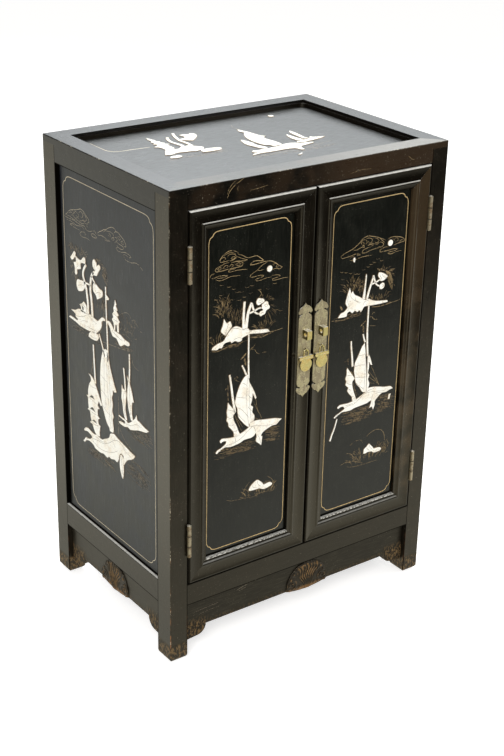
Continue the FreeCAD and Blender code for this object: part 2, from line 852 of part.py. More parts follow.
def pull():
    """Drop pull: wire bail, fluted bar and round tab, hanging from the eye."""
    left = Vector(plate_x - bail_half_width, eye_y, eye_z - bail_half_width)
    right = Vector(plate_x + bail_half_width, eye_y, eye_z - bail_half_width)
    bar_top = eye_z - bail_height
    sink = Vector(0, 0, bar_top - bar_height / 2 - left.z)
    top = Vector(plate_x, eye_y, eye_z)
    path = Part.Wire([
        line(left + sink, left).toShape(), arc(left, top, right).toShape(),
        line(right, right + sink).toShape()
    ])
    section = Part.Wire(Part.makeCircle(bail_wire_radius, left + sink, Vector(0, 0, 1)))
    bail = path.makePipeShell([section], True, True)

    bar_z = (bar_top - bar_height, bar_top)
    bar_y = (eye_y - bar_thickness / 2, eye_y + bar_thickness / 2)
    bar = block((plate_x - bar_width / 2, plate_x + bar_width / 2), bar_y, bar_z)
    ends = [edge for edge in bar.Edges if edge.BoundBox.YLength > bar_thickness / 2]
    bar = bar.makeFillet(bar_end_rounding, ends)
    flute_start = Vector(plate_x - bar_width / 2, bar_y[0], bar_top - bar_height / 2)
    flute = rod(flute_start, Vector(1, 0, 0), bar_flute, bar_width)

    tab_centre = Vector(plate_x, eye_y - tab_thickness / 2, bar_z[0] - tab_below_bar)
    tab = rod(tab_centre, Vector(0, 1, 0), tab_radius, tab_thickness)
    above = block((plate_x - bar_width, plate_x + bar_width), (eye_y - bar_width, eye_y + bar_width),
                  (bar_z[0] + bar_height / 2, eye_z))
    return bar.cut(flute).fuse([bail, tab.cut(above)]).removeSplitter()


# ---- All pieces ----

def all_pieces():
    pieces = {
        "front_top_rail": front_or_rear_top_rail(-1),
        "rear_top_rail": front_or_rear_top_rail(1),
        "top_panel": top_panel(),
        "top_bead": top_bead(),
        "top_batten": top_batten(),
        "front_bottom_rail": front_or_rear_bottom_rail(-1),
        "rear_bottom_rail": front_or_rear_bottom_rail(1),
        "bottom_board": bottom_board(),
        "back_panel": back_panel(),
        "front_apron": front_apron(),
        "shelf": shelf(),
        "upper_door_stop": door_stop((front_rail_bottom - stop_size, front_rail_bottom)),
        "lower_door_stop": door_stop((front_rail_top, front_rail_top + stop_size)),
    }
    for name, side in (("left", -1), ("right", 1)):
        pieces[name + "_front_post"] = post(side, -1)
        pieces[name + "_rear_post"] = post(side, 1)
        pieces[name + "_top_rail"] = side_top_rail(side)
        pieces[name + "_bottom_rail"] = side_bottom_rail(side)
        pieces[name + "_side_panel"] = side_panel(side)
        pieces[name + "_apron"] = side_apron(side)
        pieces[name + "_shelf_cleat"] = shelf_cleat(side)

    members = door_members()
    left_door = {"door_" + name: [shape] for name, shape in members.items()}
    left_door.update({
        "door_panel": [door_panel()],
        "post_hinge_leaves": [hinge_leaf(-1, height) for height in hinge_heights],
        "door_hinge_leaves": [hinge_leaf(1, height) for height in hinge_heights],
        "hinge_pins": [hinge_pin(height) for height in hinge_heights],
        "post_hinge_screws": hinge_screws(-1),
        "door_hinge_screws": hinge_screws(1),
        "plate": [plate()],
        "plate_nails": [nail(offset) for offset in nail_offsets],
        "staple": [staple()],
        "eye_pin": [eye_pin()],
        "pull": [pull()],
    })
    for name, side in (("left", -1), ("right", 1)):
        for part, solids in left_door.items():
            placed = [place_on(side)(solid) for solid in solids]
            pieces[name + "_" + part] = placed[0] if len(placed) == 1 else Part.makeCompound(placed)
    return pieces


os.makedirs("parts", exist_ok=True)
for node, shape in all_pieces().items():
    shape.exportStep(os.path.join("parts", node + ".step"))
    print("%-26s %2d solids %12.1f mm3" % (node, len(shape.Solids), shape.Volume))
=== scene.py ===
# %% [markdown]
# # A black lacquered cabinet, finished in Blender
# The solids of the cabinet come from a frame that was packed before: posts, rails, panels,
# doors, hinges and pulls, each in its place. This lesson gives them their lacquer, inlay,
# gilding, carving and worn metal. The frame is loaded first.

import math

import bpy
import numpy as np
from mathutils import Matrix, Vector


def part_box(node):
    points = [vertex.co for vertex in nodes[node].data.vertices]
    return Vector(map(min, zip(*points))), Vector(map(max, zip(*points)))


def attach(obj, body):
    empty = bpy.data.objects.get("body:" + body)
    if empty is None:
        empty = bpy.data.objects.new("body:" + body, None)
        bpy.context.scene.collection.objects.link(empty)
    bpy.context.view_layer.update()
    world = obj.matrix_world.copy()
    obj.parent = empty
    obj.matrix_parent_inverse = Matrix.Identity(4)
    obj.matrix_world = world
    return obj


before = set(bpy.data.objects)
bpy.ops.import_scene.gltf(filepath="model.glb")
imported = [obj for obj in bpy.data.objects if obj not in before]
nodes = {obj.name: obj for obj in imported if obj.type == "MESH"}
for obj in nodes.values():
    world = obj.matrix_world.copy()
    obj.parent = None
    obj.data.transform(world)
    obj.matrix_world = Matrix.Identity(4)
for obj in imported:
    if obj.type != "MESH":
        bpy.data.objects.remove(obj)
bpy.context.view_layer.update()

# %% [markdown]
# ## Sizes of the cabinet
# All lengths in this lesson are millimetres, as a cabinet maker writes them, and are turned
# into metres only when a mesh is made. X runs to the right, Y to the back and Z up. The
# decoration lies on five faces: the two door panels, the two side panels and the top panel.
# The last lines are places of painted shade, painted highlight, dust and wear: painted shade
# at the edges of what shows of a side panel or a door panel, on the bead below a door panel
# and in the hollow above it; a painted highlight over dust and polish on the ledge below a
# door panel; wear at the ends of the brackets under the case.

# %% Sizes in millimetres
half_width, front_y, rear_y, case_height = 254.0, -170.4, 185.6, 762.0
middle_y = (front_y + rear_y) / 2
post_depth = 36.0
door_proud, door_panel_depth, panel_sink, apron_sink, top_panel_sink = 2.0, 8.0, 5.5, 8.0, 10.6
door_panel_y = front_y - door_proud + door_panel_depth
side_panel_x = half_width - panel_sink
apron_y, apron_x = front_y + apron_sink, half_width - apron_sink
top_panel_z = case_height - top_panel_sink
side_rail_top, panel_low, panel_high, panel_inner, panel_outer = 136.0, 171.0, 694.0, 35.5, 187.2
bead_low, ledge_low, ledge_high = 158.0, 165.0, 168.0
hollow_low, hollow_high = 706.0, 726.0
bracket_end_x, bracket_end_y = 183.0, 99.0
print("door panels at y", door_panel_y, "side panels at x", side_panel_x, "top panel at z", top_panel_z)


# %% [markdown]
# ## A camera
# The cabinet is seen from its left front and from a little above. The camera's place, the
# direction it looks in and its small tilt are numbers; from them its three axes are worked
# out: backwards, to its right and up, and the last two are then turned by the tilt.

# %% Camera
def aim_camera(place, azimuth, elevation, tilt, lens):
    """Back points from the scene to the camera, right is level, up is square to both; then
    right and up are turned about back by the tilt."""
    a, e, t = (math.radians(v) for v in (azimuth, elevation, tilt))
    back = np.array([math.sin(a) * math.cos(e), -math.cos(a) * math.cos(e), math.sin(e)])
    right = np.cross([0.0, 0.0, 1.0], back)
    right /= np.linalg.norm(right)
    up = np.cross(back, right)
    axes = np.eye(4)
    axes[:3, 0] = math.cos(t) * right + math.sin(t) * up
    axes[:3, 1] = math.cos(t) * up - math.sin(t) * right
    axes[:3, 2], axes[:3, 3] = back, place
    camera = bpy.data.objects.new("camera", bpy.data.cameras.new("camera"))
    bpy.context.collection.objects.link(camera)
    camera.matrix_world = Matrix(axes.tolist())
    camera.data.lens, camera.data.sensor_width = lens, 36.0
    return camera


eye = (-1262.3, -1743.3, 1330.1)
camera = aim_camera([v / 1000 for v in eye], azimuth=-36.2425, elevation=24.2329, tilt=1.26523, lens=68.75)
bpy.context.scene.camera = camera
bpy.context.scene.view_settings.view_transform = "Standard"
print("camera looks along", [round(-v, 3) for v in camera.matrix_world.col[2][:3]])


# %% [markdown]
# ## Shader maths as Python
# A finish is a small sum: so much lacquer, so much wear where an edge is near. To write it
# as one, a class wraps a node's socket, and each operator on it, + - * or abs, adds one Math
# node. A second class holds a material and adds every other node through one method, which
# sets the node's own settings first and then its inputs.

# %% Sockets and finishes
def paint(red, green, blue):
    """A colour given as 0 to 255 is made linear: near black a straight line, above it a power."""
    values = np.array([red, green, blue]) / 255.0
    linear = np.where(values <= 0.04045, values / 12.92, ((values + 0.055) / 1.055) ** 2.4)
    return (*linear.tolist(), 1.0)


class Wire:
    """One socket of a finish. Arithmetic on it adds Math nodes."""

    def __init__(self, finish, socket):
        self.finish, self.socket = finish, socket

    def maths(self, operation, *others):
        """One Math node whose first input is this wire."""
        return self.finish.add("ShaderNodeMath", {"operation": operation}, dict(enumerate((self, *others))))

    def __add__(self, other):
        return self.maths("ADD", other)

    def __sub__(self, other):
        return self.maths("SUBTRACT", other)

    def __rsub__(self, other):
        """A number less this wire: the wire times -1, plus the number."""
        return self.maths("MULTIPLY_ADD", -1.0, other)

    def __mul__(self, other):
        return self.maths("MULTIPLY", other)

    def __abs__(self):
        return self.maths("ABSOLUTE")

    __radd__, __rmul__ = __add__, __mul__

    def least(self, other):
        return self.maths("MINIMUM", other)

    def most(self, other):
        return self.maths("MAXIMUM", other)

    def fade(self, start, end):
        """0 at start and 1 at end, turning softly at both, whichever of them is larger."""
        if start > end:
            return 1.0 - self.fade(end, start)
        return self.finish.add("ShaderNodeMapRange", {"interpolation_type": "SMOOTHSTEP"},
                               {"Value": self, "From Min": start, "From Max": end})


class Finish:
    """A material under its plain name, whose nodes are added one at a time."""

    def __init__(self, name):
        self.material = bpy.data.materials.new(name)
        self.material.use_nodes = True
        self.tree = self.material.node_tree
        self.tree.nodes.clear()
        place = self.add("ShaderNodeTexCoord", output="Object")
        self.point = self.add("ShaderNodeVectorMath", {"operation": "SCALE"}, {0: place, "Scale": 1000.0})
        self.x, self.y, self.z = self.parts(self.point)

    def add(self, kind, settings=None, inputs=None, output=0):
        """Add one node: first its settings, then its sockets' values or links. Returns one output."""
        node = self.tree.nodes.new(kind)
        for key, value in (settings or {}).items():
            setattr(node, key, value)
        for key, value in (inputs or {}).items():
            if isinstance(value, Wire):
                self.tree.links.new(value.socket, node.inputs[key])
            else:
                node.inputs[key].default_value = value
        return Wire(self, node.outputs[output] if node.outputs else None)

    def parts(self, vector):
        """The three numbers of a vector."""
        return [self.add("ShaderNodeSeparateXYZ", inputs={0: vector}, output=i) for i in range(3)]

    def noise(self, grain, detail=3.0, along=(1.0, 1.0, 1.0)):
        """Noise with lumps about `grain` millimetres across, drawn out along an axis by its factor."""
        scale = tuple(1.0 / (grain * factor) for factor in along)
        vector = self.add("ShaderNodeVectorMath", {"operation": "MULTIPLY"}, {0: self.point, 1: scale})
        return self.add("ShaderNodeTexNoise", inputs={"Vector": vector, "Scale": 1.0, "Detail": detail})

    def on_points(self, name):
        """A number that a mesh keeps on its points."""
        return self.add("ShaderNodeAttribute", {"attribute_name": name}, output="Fac")

    def mix(self, share, first, second):
        """A colour between two, by a share from 0 to 1."""
        return self.add("ShaderNodeMix", {"data_type": "RGBA"}, {0: share, 6: first, 7: second}, output=2)

    def bump(self, height, distance):
        """A bump that stands `distance` millimetres high where height is 1."""
        return self.add("ShaderNodeBump", inputs={"Height": height, "Distance": distance / 1000.0})

    def close(self, shader):
        """End with this shader, and give back the material."""
        self.add("ShaderNodeOutputMaterial", inputs={"Surface": shader})
        return self.material

    def principled(self, **sockets):
        """The main shader; a word such as base_color stands for its socket Base Color."""
        names = {key: key.replace("_", " ").title().replace("Ior", "IOR") for key in sockets}
        return self.add("ShaderNodeBsdfPrincipled", inputs={names[key]: sockets[key] for key in sockets})

    def surface(self, **sockets):
        """A finish that is the main shader alone."""
        return self.close(self.principled(**sockets))


print("shader classes ready")

# %% [markdown]
# ## Floor, sky and lamps
# A black gloss finish shows what stands round it more than its own colour. The front faces
# are seen from above, so they mirror the floor: close by it is bright, further off it is
# dark, which is why the doors are pale at the bottom and black at the top. The wide lamp
# overhead lights everything that faces up. The floor is white to the eye and keeps the
# shadow; the light of the room that falls on it is a little warm.

# %% Floor
white = (1.0, 1.0, 1.0, 1.0)
warm_glow = (1.0, 0.985, 0.86, 1.0)
floor_grey, floor_shade = (0.72, 0.71, 0.69, 1.0), (0.03, 0.03, 0.027, 1.0)


def floor_finish():
    """White for the eye, a pale sheet for light, and for reflections a warm glow that dies
    away in front of the cabinet and again far to its left."""
    f = Finish("floor_white")
    eye_ray = f.add("ShaderNodeLightPath", output="Is Camera Ray")
    gloss_ray = f.add("ShaderNodeLightPath", output="Is Glossy Ray")
    near = (f.y + 0.5 * (f.x.least(650.0) - 500.0)).fade(-1430.0, -520.0)
    beside = f.x.fade(-320.0, -620.0) * f.x.fade(-2300.0, -1100.0)
    behind = 0.38 * f.y.fade(560.0, 1000.0) + 0.3 * f.y.fade(1300.0, 2000.0)
    glow = eye_ray * 0.62 + gloss_ray * (0.01 + 0.8 * near + 0.58 * beside * (1.22 - behind))
    lit = f.add("ShaderNodeEmission", inputs={"Color": f.mix(gloss_ray, white, warm_glow), "Strength": glow})
    shade = f.add("ShaderNodeBsdfDiffuse", inputs={"Color": f.mix(gloss_ray, floor_grey, floor_shade)})
    return f.close(f.add("ShaderNodeAddShader", inputs={0: shade, 1: lit}))


def stage_sheet(name, corners, material):
    """A flat sheet that isn't part of the cabinet, from its corners in millimetres."""
    mesh = bpy.data.meshes.new(name)
    mesh.from_pydata((np.array(corners, float) / 1000.0).tolist(), [], [tuple(range(len(corners)))])
    sheet = bpy.data.objects.new(name, mesh)
    bpy.context.collection.objects.link(sheet)
    mesh.materials.append(material)


reach, drop = 9000.0, -0.5
floor_corners = [(-reach, -reach, drop), (reach, -reach, drop), (reach, reach, drop), (-reach, reach, drop)]
stage_sheet("floor", floor_corners, floor_finish())
print("floor", 2 * reach / 1000, "m wide")


# %% Sky and lamps
def sky(light, mirrored):
    """White to the eye, one even level for light and a lower one for reflections. The world
    has no material, so the class is given the world's own tree instead of making one."""
    world = bpy.data.worlds.new("studio")
    world.use_nodes = True
    bpy.context.scene.world = world
    f = Finish.__new__(Finish)
    f.tree = world.node_tree
    eye_ray = f.add("ShaderNodeLightPath", output="Is Camera Ray")
    gloss_ray = f.add("ShaderNodeLightPath", output="Is Glossy Ray")
    level = light + (1.0 - light) * eye_ray + (mirrored - light) * gloss_ray
    background = f.tree.nodes["Background"]
    f.tree.links.new(level.socket, background.inputs["Strength"])
    background.inputs["Color"].default_value = white


def soft_lamp(name, place, aim, width, height, brightness, tint=(1.0, 1.0, 1.0)):
    """A rectangular lamp at a place, facing a point. Brightness is what a mirror would show:
    the power over pi times the area."""
    data = bpy.data.lights.new(name, "AREA")
    data.shape, data.size, data.size_y, data.color = "RECTANGLE", width, height, tint
    data.energy = brightness * math.pi * width * height
    lamp = bpy.data.objects.new(name, data)
    bpy.context.collection.objects.link(lamp)
    back = np.array(place, float) - np.array(aim, float)
    back /= np.linalg.norm(back)
    side = np.cross([0, 0, 1.0], back)
    side /= np.linalg.norm(side)
    axes = np.eye(4)
    axes[:3, 0], axes[:3, 1], axes[:3, 2], axes[:3, 3] = side, np.cross(back, side), back, place
    lamp.matrix_world = Matrix(axes.tolist())


middle, under_top = (0, 0, 0.4), (0, 0, 0.75)
cool, cooler = (0.94, 0.98, 1.0), (0.93, 0.98, 1.0)
sky(light=0.5, mirrored=0.12)
soft_lamp("key_lamp", (-2.3, -2.3, 2.4), middle, width=1.6, height=1.6, brightness=10.5)
soft_lamp("fill_lamp", (2.4, -2.2, 1.4), middle, width=1.6, height=1.2, brightness=3.0)
soft_lamp("overhead_lamp", (1.15, 1.0, 2.5), under_top, width=2.2, height=1.7, brightness=7.4, tint=cool)
soft_lamp("back_lamp", (2.4, 2.1, 1.85), under_top, width=3.4, height=1.0, brightness=2.0, tint=cooler)
print("a sky and four lamps")

# %% [markdown]
# ## Lacquer
# Real lacquer is many thin coats rubbed smooth. Up close it is never even: the brush leaves
# faint streaks along the grain, dust and fine scratches catch the light, and on edges it is
# worn through to brown undercoat. What faces up is painted pale, a painted highlight over the
# dull places where cloths have rubbed it. Along the joints, under ledges and in grooves the
# finish is painted dark and dull, partly painted shade and partly dirt, and takes the gloss
# away. A point is near an edge of its piece when two of its three distances to the piece's box
# are small, so the middle one of the three says how near it is.
# Each piece gets a finish of its own, built from one recipe and its own box.

# %% Lacquer recipe
black, brown_black, red_black = paint(10, 7, 4), paint(17, 12, 7), paint(22, 14, 8)
undercoat, bare_wood, gold_brown = paint(104, 70, 40), paint(160, 104, 60), paint(146, 116, 74)
# The pale ground is a painted highlight over dust; the near black stands for painted shade and dirt.
pale_highlight_dust, chalk, shade_dirt_black = paint(226, 224, 216), paint(198, 188, 164), paint(7, 6, 4)
cut_ground, old_streak, bright_dust = paint(22, 15, 9), paint(62, 58, 48), paint(178, 168, 146)
amber = (1.0, 0.9, 0.7, 1.0)
relief_depth = 0.14


def middle_of(a, b, c):
    """The middle one of three wires."""
    return a.least(b).most(a.most(b).least(c))


def box_of(node):
    """A node's two corners in millimetres."""
    low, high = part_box(node)
    return np.array(low) * 1000.0, np.array(high) * 1000.0


def grain_along(low, high, factor=14.0):
    """Streaks run along the longest side of a piece."""
    run = [1.0, 1.0, 1.0]
    run[int(np.argmax(high - low))] = factor
    return tuple(run)


def lacquer(name, low, high, gloss=0.3, ground=black, second=brown_black, wear=1.6, share=0.3, specks=0.4,
            streaks=0.1, brushed=0.12, tint=amber, shine=0.5, joint_shade_width=1.8, low_wear=0.0,
            second_share=None, lit_and_rubbed_top=None, caked_and_lit=None, rough_end=None, painted_shade=None):
    """Ground colour, patches of the second colour and streaks; then specks, worn and chipped
    edges, a painted highlight over rubbed dust on what faces up, a painted highlight over caked
    polish and, where rough_end says so, coarse carving whose high places are gold-brown. The
    last five are functions of the finish that give a share. Painted shade and dirt fill the
    joints, and the last of the five adds more painted shade: there the shader gives way to a
    plain dark one."""
    f = Finish(name)
    spans = zip((f.x, f.y, f.z), low.tolist(), high.tolist())
    edge = middle_of(*((wire - start).least(end - wire) for wire, start, end in spans))
    patches, rubbed = f.noise(42.0, 4.0), f.noise(9.0, 5.0)
    brush, speck = f.noise(1.5, 3.0, grain_along(low, high)), f.noise(1.7, 3.0)
    often = share + low_wear * f.z.fade(150.0, 30.0)
    worn = edge.fade(wear, 0.2) * (rubbed * 0.6 + patches * 0.6 + 0.4 * often).fade(0.82, 0.96)
    dots = speck.fade(0.66, 0.74) * patches.fade(0.4, 0.6)
    scratch = f.noise(2.2, 2.0).fade(0.72, 0.76)
    facing_up = f.parts(f.add("ShaderNodeTexCoord", output="Normal"))[2]
    outer = middle_of(abs(f.x).fade(half_width - 8.0, half_width - 4.0),
                      f.y.fade(front_y + 7.0, front_y + 4.0).most(f.y.fade(rear_y - 7.0, rear_y - 4.0)),
                      f.z.fade(case_height - 8.0, case_height - 4.0))
    chips = edge.fade(1.3, 0.3) * f.noise(2.6, 4.0).fade(0.52, 0.6) * outer * patches.fade(0.48, 0.6)
    # Painted shade and dirt along inner edges and joints, but not on faces that look up; the last function
    # adds more painted shade.
    shade_and_grime = edge.fade(joint_shade_width, 0.6) * (1.0 - outer) * facing_up.fade(0.5, 0.2) * 0.9
    if painted_shade:
        shade_and_grime = shade_and_grime.most(painted_shade(f))
    patchy = patches.fade(0.4, 0.64) * 0.75
    if second_share:
        patchy = patchy.most(second_share(f))
    colour = f.mix(patchy, ground, second)
    colour = f.mix(brush.fade(0.46, 0.7) * streaks, colour, old_streak)
    colour = f.mix((dots * 0.7 + scratch * 0.6) * specks, colour, bright_dust)
    below = f.mix(f.z.fade(110.0, 60.0), undercoat, bare_wood) if low_wear else undercoat
    colour = f.mix(worn * 0.8, colour, below)
    colour = f.mix(chips * 0.8, colour, chalk)
    rough = gloss + brushed * (brush - 0.5) + 0.1 * (patches - 0.5) + 0.25 * worn + 0.15 * dots
    relief = brush * 0.4 + f.noise(16.0, 2.0) * 1.1 + rubbed * 0.3
    # Painted highlight: what faces up is turned pale, over rubbed dust.
    if lit_and_rubbed_top:
        highlight_and_dust = facing_up.fade(0.28, 0.62) * lit_and_rubbed_top(f) * (0.85 + 0.8 * (rubbed - 0.35))
        colour = f.mix(highlight_and_dust, colour, pale_highlight_dust)
        rough = rough + 0.1 * highlight_and_dust
    # Painted highlight over caked dust and polish on the ledge the function names.
    if caked_and_lit:
        crumbs = f.noise(1.8, 4.0, (2.0, 1.0, 1.0)).fade(0.42, 0.62)
        colour = f.mix(caked_and_lit(f) * (0.04 + 0.86 * crumbs), colour, pale_highlight_dust)
    if rough_end:
        carved = rough_end(f)
        lumps, cuts = f.noise(3.6, 4.0, (1.0, 1.0, 1.7)), f.noise(1.7, 3.0, (1.0, 1.0, 1.5))
        tops = (lumps * 0.7 + cuts * 0.35).fade(0.49, 0.62)
        colour = f.mix(carved * 0.9, colour, f.mix(tops * 0.56, cut_ground, gold_brown))
        rough = rough + 0.25 * carved
        relief = relief + carved * (lumps * 9.0 + cuts * 4.0)
    glossy = f.principled(base_color=colour, roughness=rough, specular_tint=tint, specular_ior_level=shine,
                          normal=f.bump(relief, relief_depth))
    # The painted shade and the dirt are a plain dark matte shader.
    shade_dirt_matte = f.add("ShaderNodeBsdfDiffuse", inputs={"Color": shade_dirt_black})
    return f.close(f.add("ShaderNodeMixShader", inputs={0: shade_and_grime, 1: glossy, 2: shade_dirt_matte}))


def coat(node, material):
    """Give a CAD node one material."""
    mesh = nodes[node].data
    mesh.materials.clear()
    mesh.materials.append(material)


print("lacquer recipe ready")

# %% [markdown]
# The rails, posts, bead and aprons take the worn lacquer; the feet and the brackets beside
# them are roughly carved and have lost most of theirs. Panels are smoother and greener, the
# side panels a little bluer high up, and the side and top panels keep long brushed streaks.
# The functions below say where the wear, the dust, the painted highlights and the painted
# shade of each kind of piece lie.

# %% Lacquer on the case and doors
def low_down(f):
    """Feet: everything below about 28 mm."""
    return f.z.fade(33.0, 25.0)


def near_brackets(f):
    """Aprons: the corners next to the posts, low down, and the whole lower edge faintly."""
    beside_x = abs(f.x).fade(bracket_end_x - 7.0, bracket_end_x + 7.0)
    beside_y = abs(f.y - middle_y).fade(bracket_end_y - 7.0, bracket_end_y + 7.0)
    in_front, at_sides = f.y.fade(-130.0, -150.0), abs(f.x).fade(225.0, 240.0)
    corners = beside_x.least(in_front).most(beside_y.least(at_sides))
    return (corners * f.z.fade(66.0, 46.0)).most(0.35 * f.z.fade(56.0, 46.0))


def bottom_ledge(f):
    """Door bottom rails, in front: the narrow ledge under the panel, with a painted highlight over caked dust
    and polish.
    """
    on_ledge = f.z.fade(ledge_low - 0.4, ledge_low + 0.4) * f.z.fade(ledge_high + 0.5, ledge_high - 0.4)
    return on_ledge * f.y.fade(door_panel_y + 2.0, door_panel_y)


def below_ledge(f):
    """Door bottom rails, in front: painted shade on the bead under that ledge, dull and brown."""
    on_bead = f.z.fade(bead_low - 1.0, bead_low + 1.0) * f.z.fade(ledge_low + 0.4, ledge_low - 0.4)
    return on_bead * f.y.fade(door_panel_y + 2.0, door_panel_y) * 0.45


def top_hollow(f):
    """Door top rails, in front: painted shade on the hollow face, so that it mirrors little of the light."""
    in_hollow = f.z.fade(hollow_low - 2.0, hollow_low + 2.0) * f.z.fade(hollow_high + 1.0, hollow_high - 1.5)
    return in_hollow * f.y.fade(front_y + 2.0, front_y) * 0.36


def front_up_high(f):
    """Posts and front top rail: painted shade on the upper part of the front face, so that it mirrors less.
    """
    return f.y.fade(front_y + 1.5, front_y + 0.5) * f.z.fade(430.0, 700.0) * 0.34


def door_groove(f):
    """Door panels: painted shade, a dark line just inside the frame, widest along the bottom."""
    level = f.z.fade(panel_low + 1.0, panel_low - 0.5).most(f.z.fade(panel_high - 0.5, panel_high + 0.5))
    inner = abs(f.x).fade(panel_inner + 0.5, panel_inner - 0.5)
    outer = abs(f.x).fade(panel_outer - 0.4, panel_outer + 0.4)
    return level.most(inner).most(outer) * 0.92


def side_groove(f):
    """Side panels: painted shade beside the rear post and along the bottom rail."""
    beside_post = f.y.fade(rear_y - post_depth - 7.0, rear_y - post_depth - 4.0)
    return beside_post.most(f.z.fade(side_rail_top + 4.5, side_rail_top + 2.5)) * 0.97


def post_painted_shade(f):
    """Posts: painted shade on the upper front face, and black painted shade on the rear post's edge in the
    side recess.
    """
    behind = f.y - (rear_y - post_depth)
    sunk_in = abs(f.x).fade(half_width - 0.4, half_width - 1.0)
    above_rail = f.z.fade(side_rail_top - 4.0, side_rail_top - 2.0)
    recess = behind.fade(0.9, 0.4) * behind.fade(-2.0, -1.0) * sunk_in * above_rail
    return front_up_high(f).most(recess * 0.97)


def outer_half(f):
    """Side bottom rails: the outer half of their tops, where a painted highlight lies over worn lacquer."""
    outer = abs(f.x).fade(half_width - 4.6, half_width - 3.6)
    return outer * f.z.fade(side_rail_top - 6.0, side_rail_top - 2.0)


def door_options(node):
    """Stiles and rails of the doors: smooth and dark. Each faces another part of the room, so
    each mirrors more or less of it."""
    # A painted highlight on what faces up, stronger higher up; on the bottom rails a painted highlight on the
    # ledge and painted shade on the bead; on the top rails painted shade in the hollow.
    options = {"lit_and_rubbed_top": lambda f: 0.4 + 0.55 * f.z.fade(300.0, 600.0), "gloss": 0.17, "specks": 0.3,
               "second": paint(16, 12, 7), "streaks": 0.05, "joint_shade_width": 2.8}
    if "bottom" in node:
        return options | {"shine": 0.66, "caked_and_lit": bottom_ledge, "painted_shade": below_ledge}
    if "top" in node:
        return options | {"shine": 0.34 if node.startswith("right") else 0.46, "painted_shade": top_hollow}
    if "meeting" in node:
        return options | {"shine": 0.8}
    if node.startswith("left"):
        return options | {"shine": 0.5}
    # The right hinge stile is painted a lighter brown high up: a painted warm reflection.
    return options | {"shine": 0.6, "second": paint(58, 46, 31),
                      "second_share": lambda f: 0.8 * f.z.fade(420.0, 600.0)}


def case_options(node):
    """What differs from the plain recipe on posts, aprons and rails."""
    # Posts: painted shade high on the front and in the side recess. Front top rail: a painted highlight on
    # its top and painted shade high on the left of its front. Side bottom rails: a painted highlight on the
    # outer half of their tops.
    if node.endswith("_post"):
        return {"rough_end": low_down, "second": red_black, "share": 0.45, "low_wear": 0.35, "specks": 0.6,
                "shine": 0.58, "painted_shade": post_painted_shade}
    if "apron" in node:
        return {"rough_end": near_brackets, "second": paint(22, 19, 12), "share": 0.5, "gloss": 0.4,
                "streaks": 0.34, "shine": 0.36 if "front" in node else 0.55}
    if node == "front_top_rail":
        return {"specks": 1.0, "second": paint(48, 33, 18), "streaks": 0.05, "tint": (1.0, 0.96, 0.86, 1.0),
                "second_share": lambda f: 0.85 * f.x.fade(-70.0, 70.0),
                "lit_and_rubbed_top": lambda f: 0.16 * f.x.fade(-120.0, 220.0),
                "painted_shade": lambda f: front_up_high(f) * f.x.fade(60.0, -60.0)}
    if "top_rail" in node:
        return {"shine": 0.42, "tint": white}
    return {"lit_and_rubbed_top": outer_half} if node in ("left_bottom_rail", "right_bottom_rail") else {}


def panel_options(node):
    """Panels: greenish and brushed. The doors' are the smoothest, the sides' the bluest."""
    options = {"gloss": 0.36, "ground": paint(9, 11, 7), "second": paint(17, 19, 14), "specks": 0.25,
               "streaks": 0.25, "brushed": 0.45, "tint": white, "shine": 0.46}
    # Door panels get painted shade just inside the frame; side panels get it beside the rear post and along
    # the bottom rail.
    if "door" in node:
        return options | {"gloss": 0.22, "specks": 0.15, "streaks": 0.1, "brushed": 0.12,
                          "painted_shade": door_groove}
    if "side" in node:
        return options | {"second": paint(14, 19, 30), "tint": (0.9, 0.94, 1.0, 1.0), "shine": 0.39,
                          "second_share": lambda f: 0.85 * f.z.fade(380.0, 640.0), "painted_shade": side_groove}
    return options


case_pieces = [n for n in nodes if any(word in n for word in ("post", "rail", "bead", "apron", "stile"))
               and not any(word in n for word in ("hinge_leaves", "screws", "pins"))]
for node in case_pieces:
    low, high = box_of(node)
    options = door_options(node) if "door" in node else case_options(node)
    coat(node, lacquer("lacquer_" + node, low, high, **options))
panels = [n for n in nodes if n.endswith("_panel")]
unworn = 20.0
for node in panels:
    low, high = box_of(node)
    coat(node, lacquer("lacquer_" + node, low - unworn, high + unworn, **panel_options(node)))
ground_box = np.array([(-300.0, -300.0, 0.0), (300.0, 300.0, 900.0)])
ground_black = lacquer("ground_black", *ground_box, ground=paint(8, 9, 6), second=paint(14, 14, 10),
                       specks=0.1, streaks=0.05)
print(len(case_pieces), "pieces lacquered, and", len(panels), "panels")

# %% [markdown]
# Inside, the wood has only a thin red-brown coat.


# %% Inner wood
def inner_wood(name, low, high):
    """Red-brown stain over softwood: growth rings are distorted bands across the board."""
    f = Finish(name)
    along = grain_along(low, high, 22.0)
    figure, pores, blot = f.noise(5.0, 4.0, along), f.noise(0.9, 2.0, along), f.noise(60.0, 3.0)
    rings = (figure * 9.0 + blot * 3.0).maths("FRACT").fade(0.1, 0.9)
    colour = f.mix(rings * 0.6 + pores * 0.3, paint(92, 48, 30), paint(60, 31, 21))
    colour = f.mix(blot.fade(0.5, 0.75) * 0.5, colour, paint(118, 78, 52))
    rough = 0.55 + 0.2 * pores
    return f.surface(base_color=colour, roughness=rough, normal=f.bump(rings * 0.4 + pores, 0.12))


wood_words = ("shelf", "bottom_board", "top_batten", "cleat", "stop")
wood_pieces = [n for n in nodes if any(word in n for word in wood_words)]
for node in wood_pieces:
    coat(node, inner_wood("wood_" + node, *box_of(node)))
print(len(wood_pieces), "pieces of inner wood")

# %% [markdown]
# ## Metal fittings
# Hinges, plates and pulls are brass of three ages. The hinge leaves are dull and silvery,
# the long plates have gone grey-brown, and the staples and pulls, which fingers rub, are
# bright yellow on their high sides. Metal takes its colour from what it mirrors, so most of
# the look is in its roughness and in patches of tarnish that are hardly metal at all. On top
# of that, each has a painted highlight on what faces up and painted shade on what faces left.


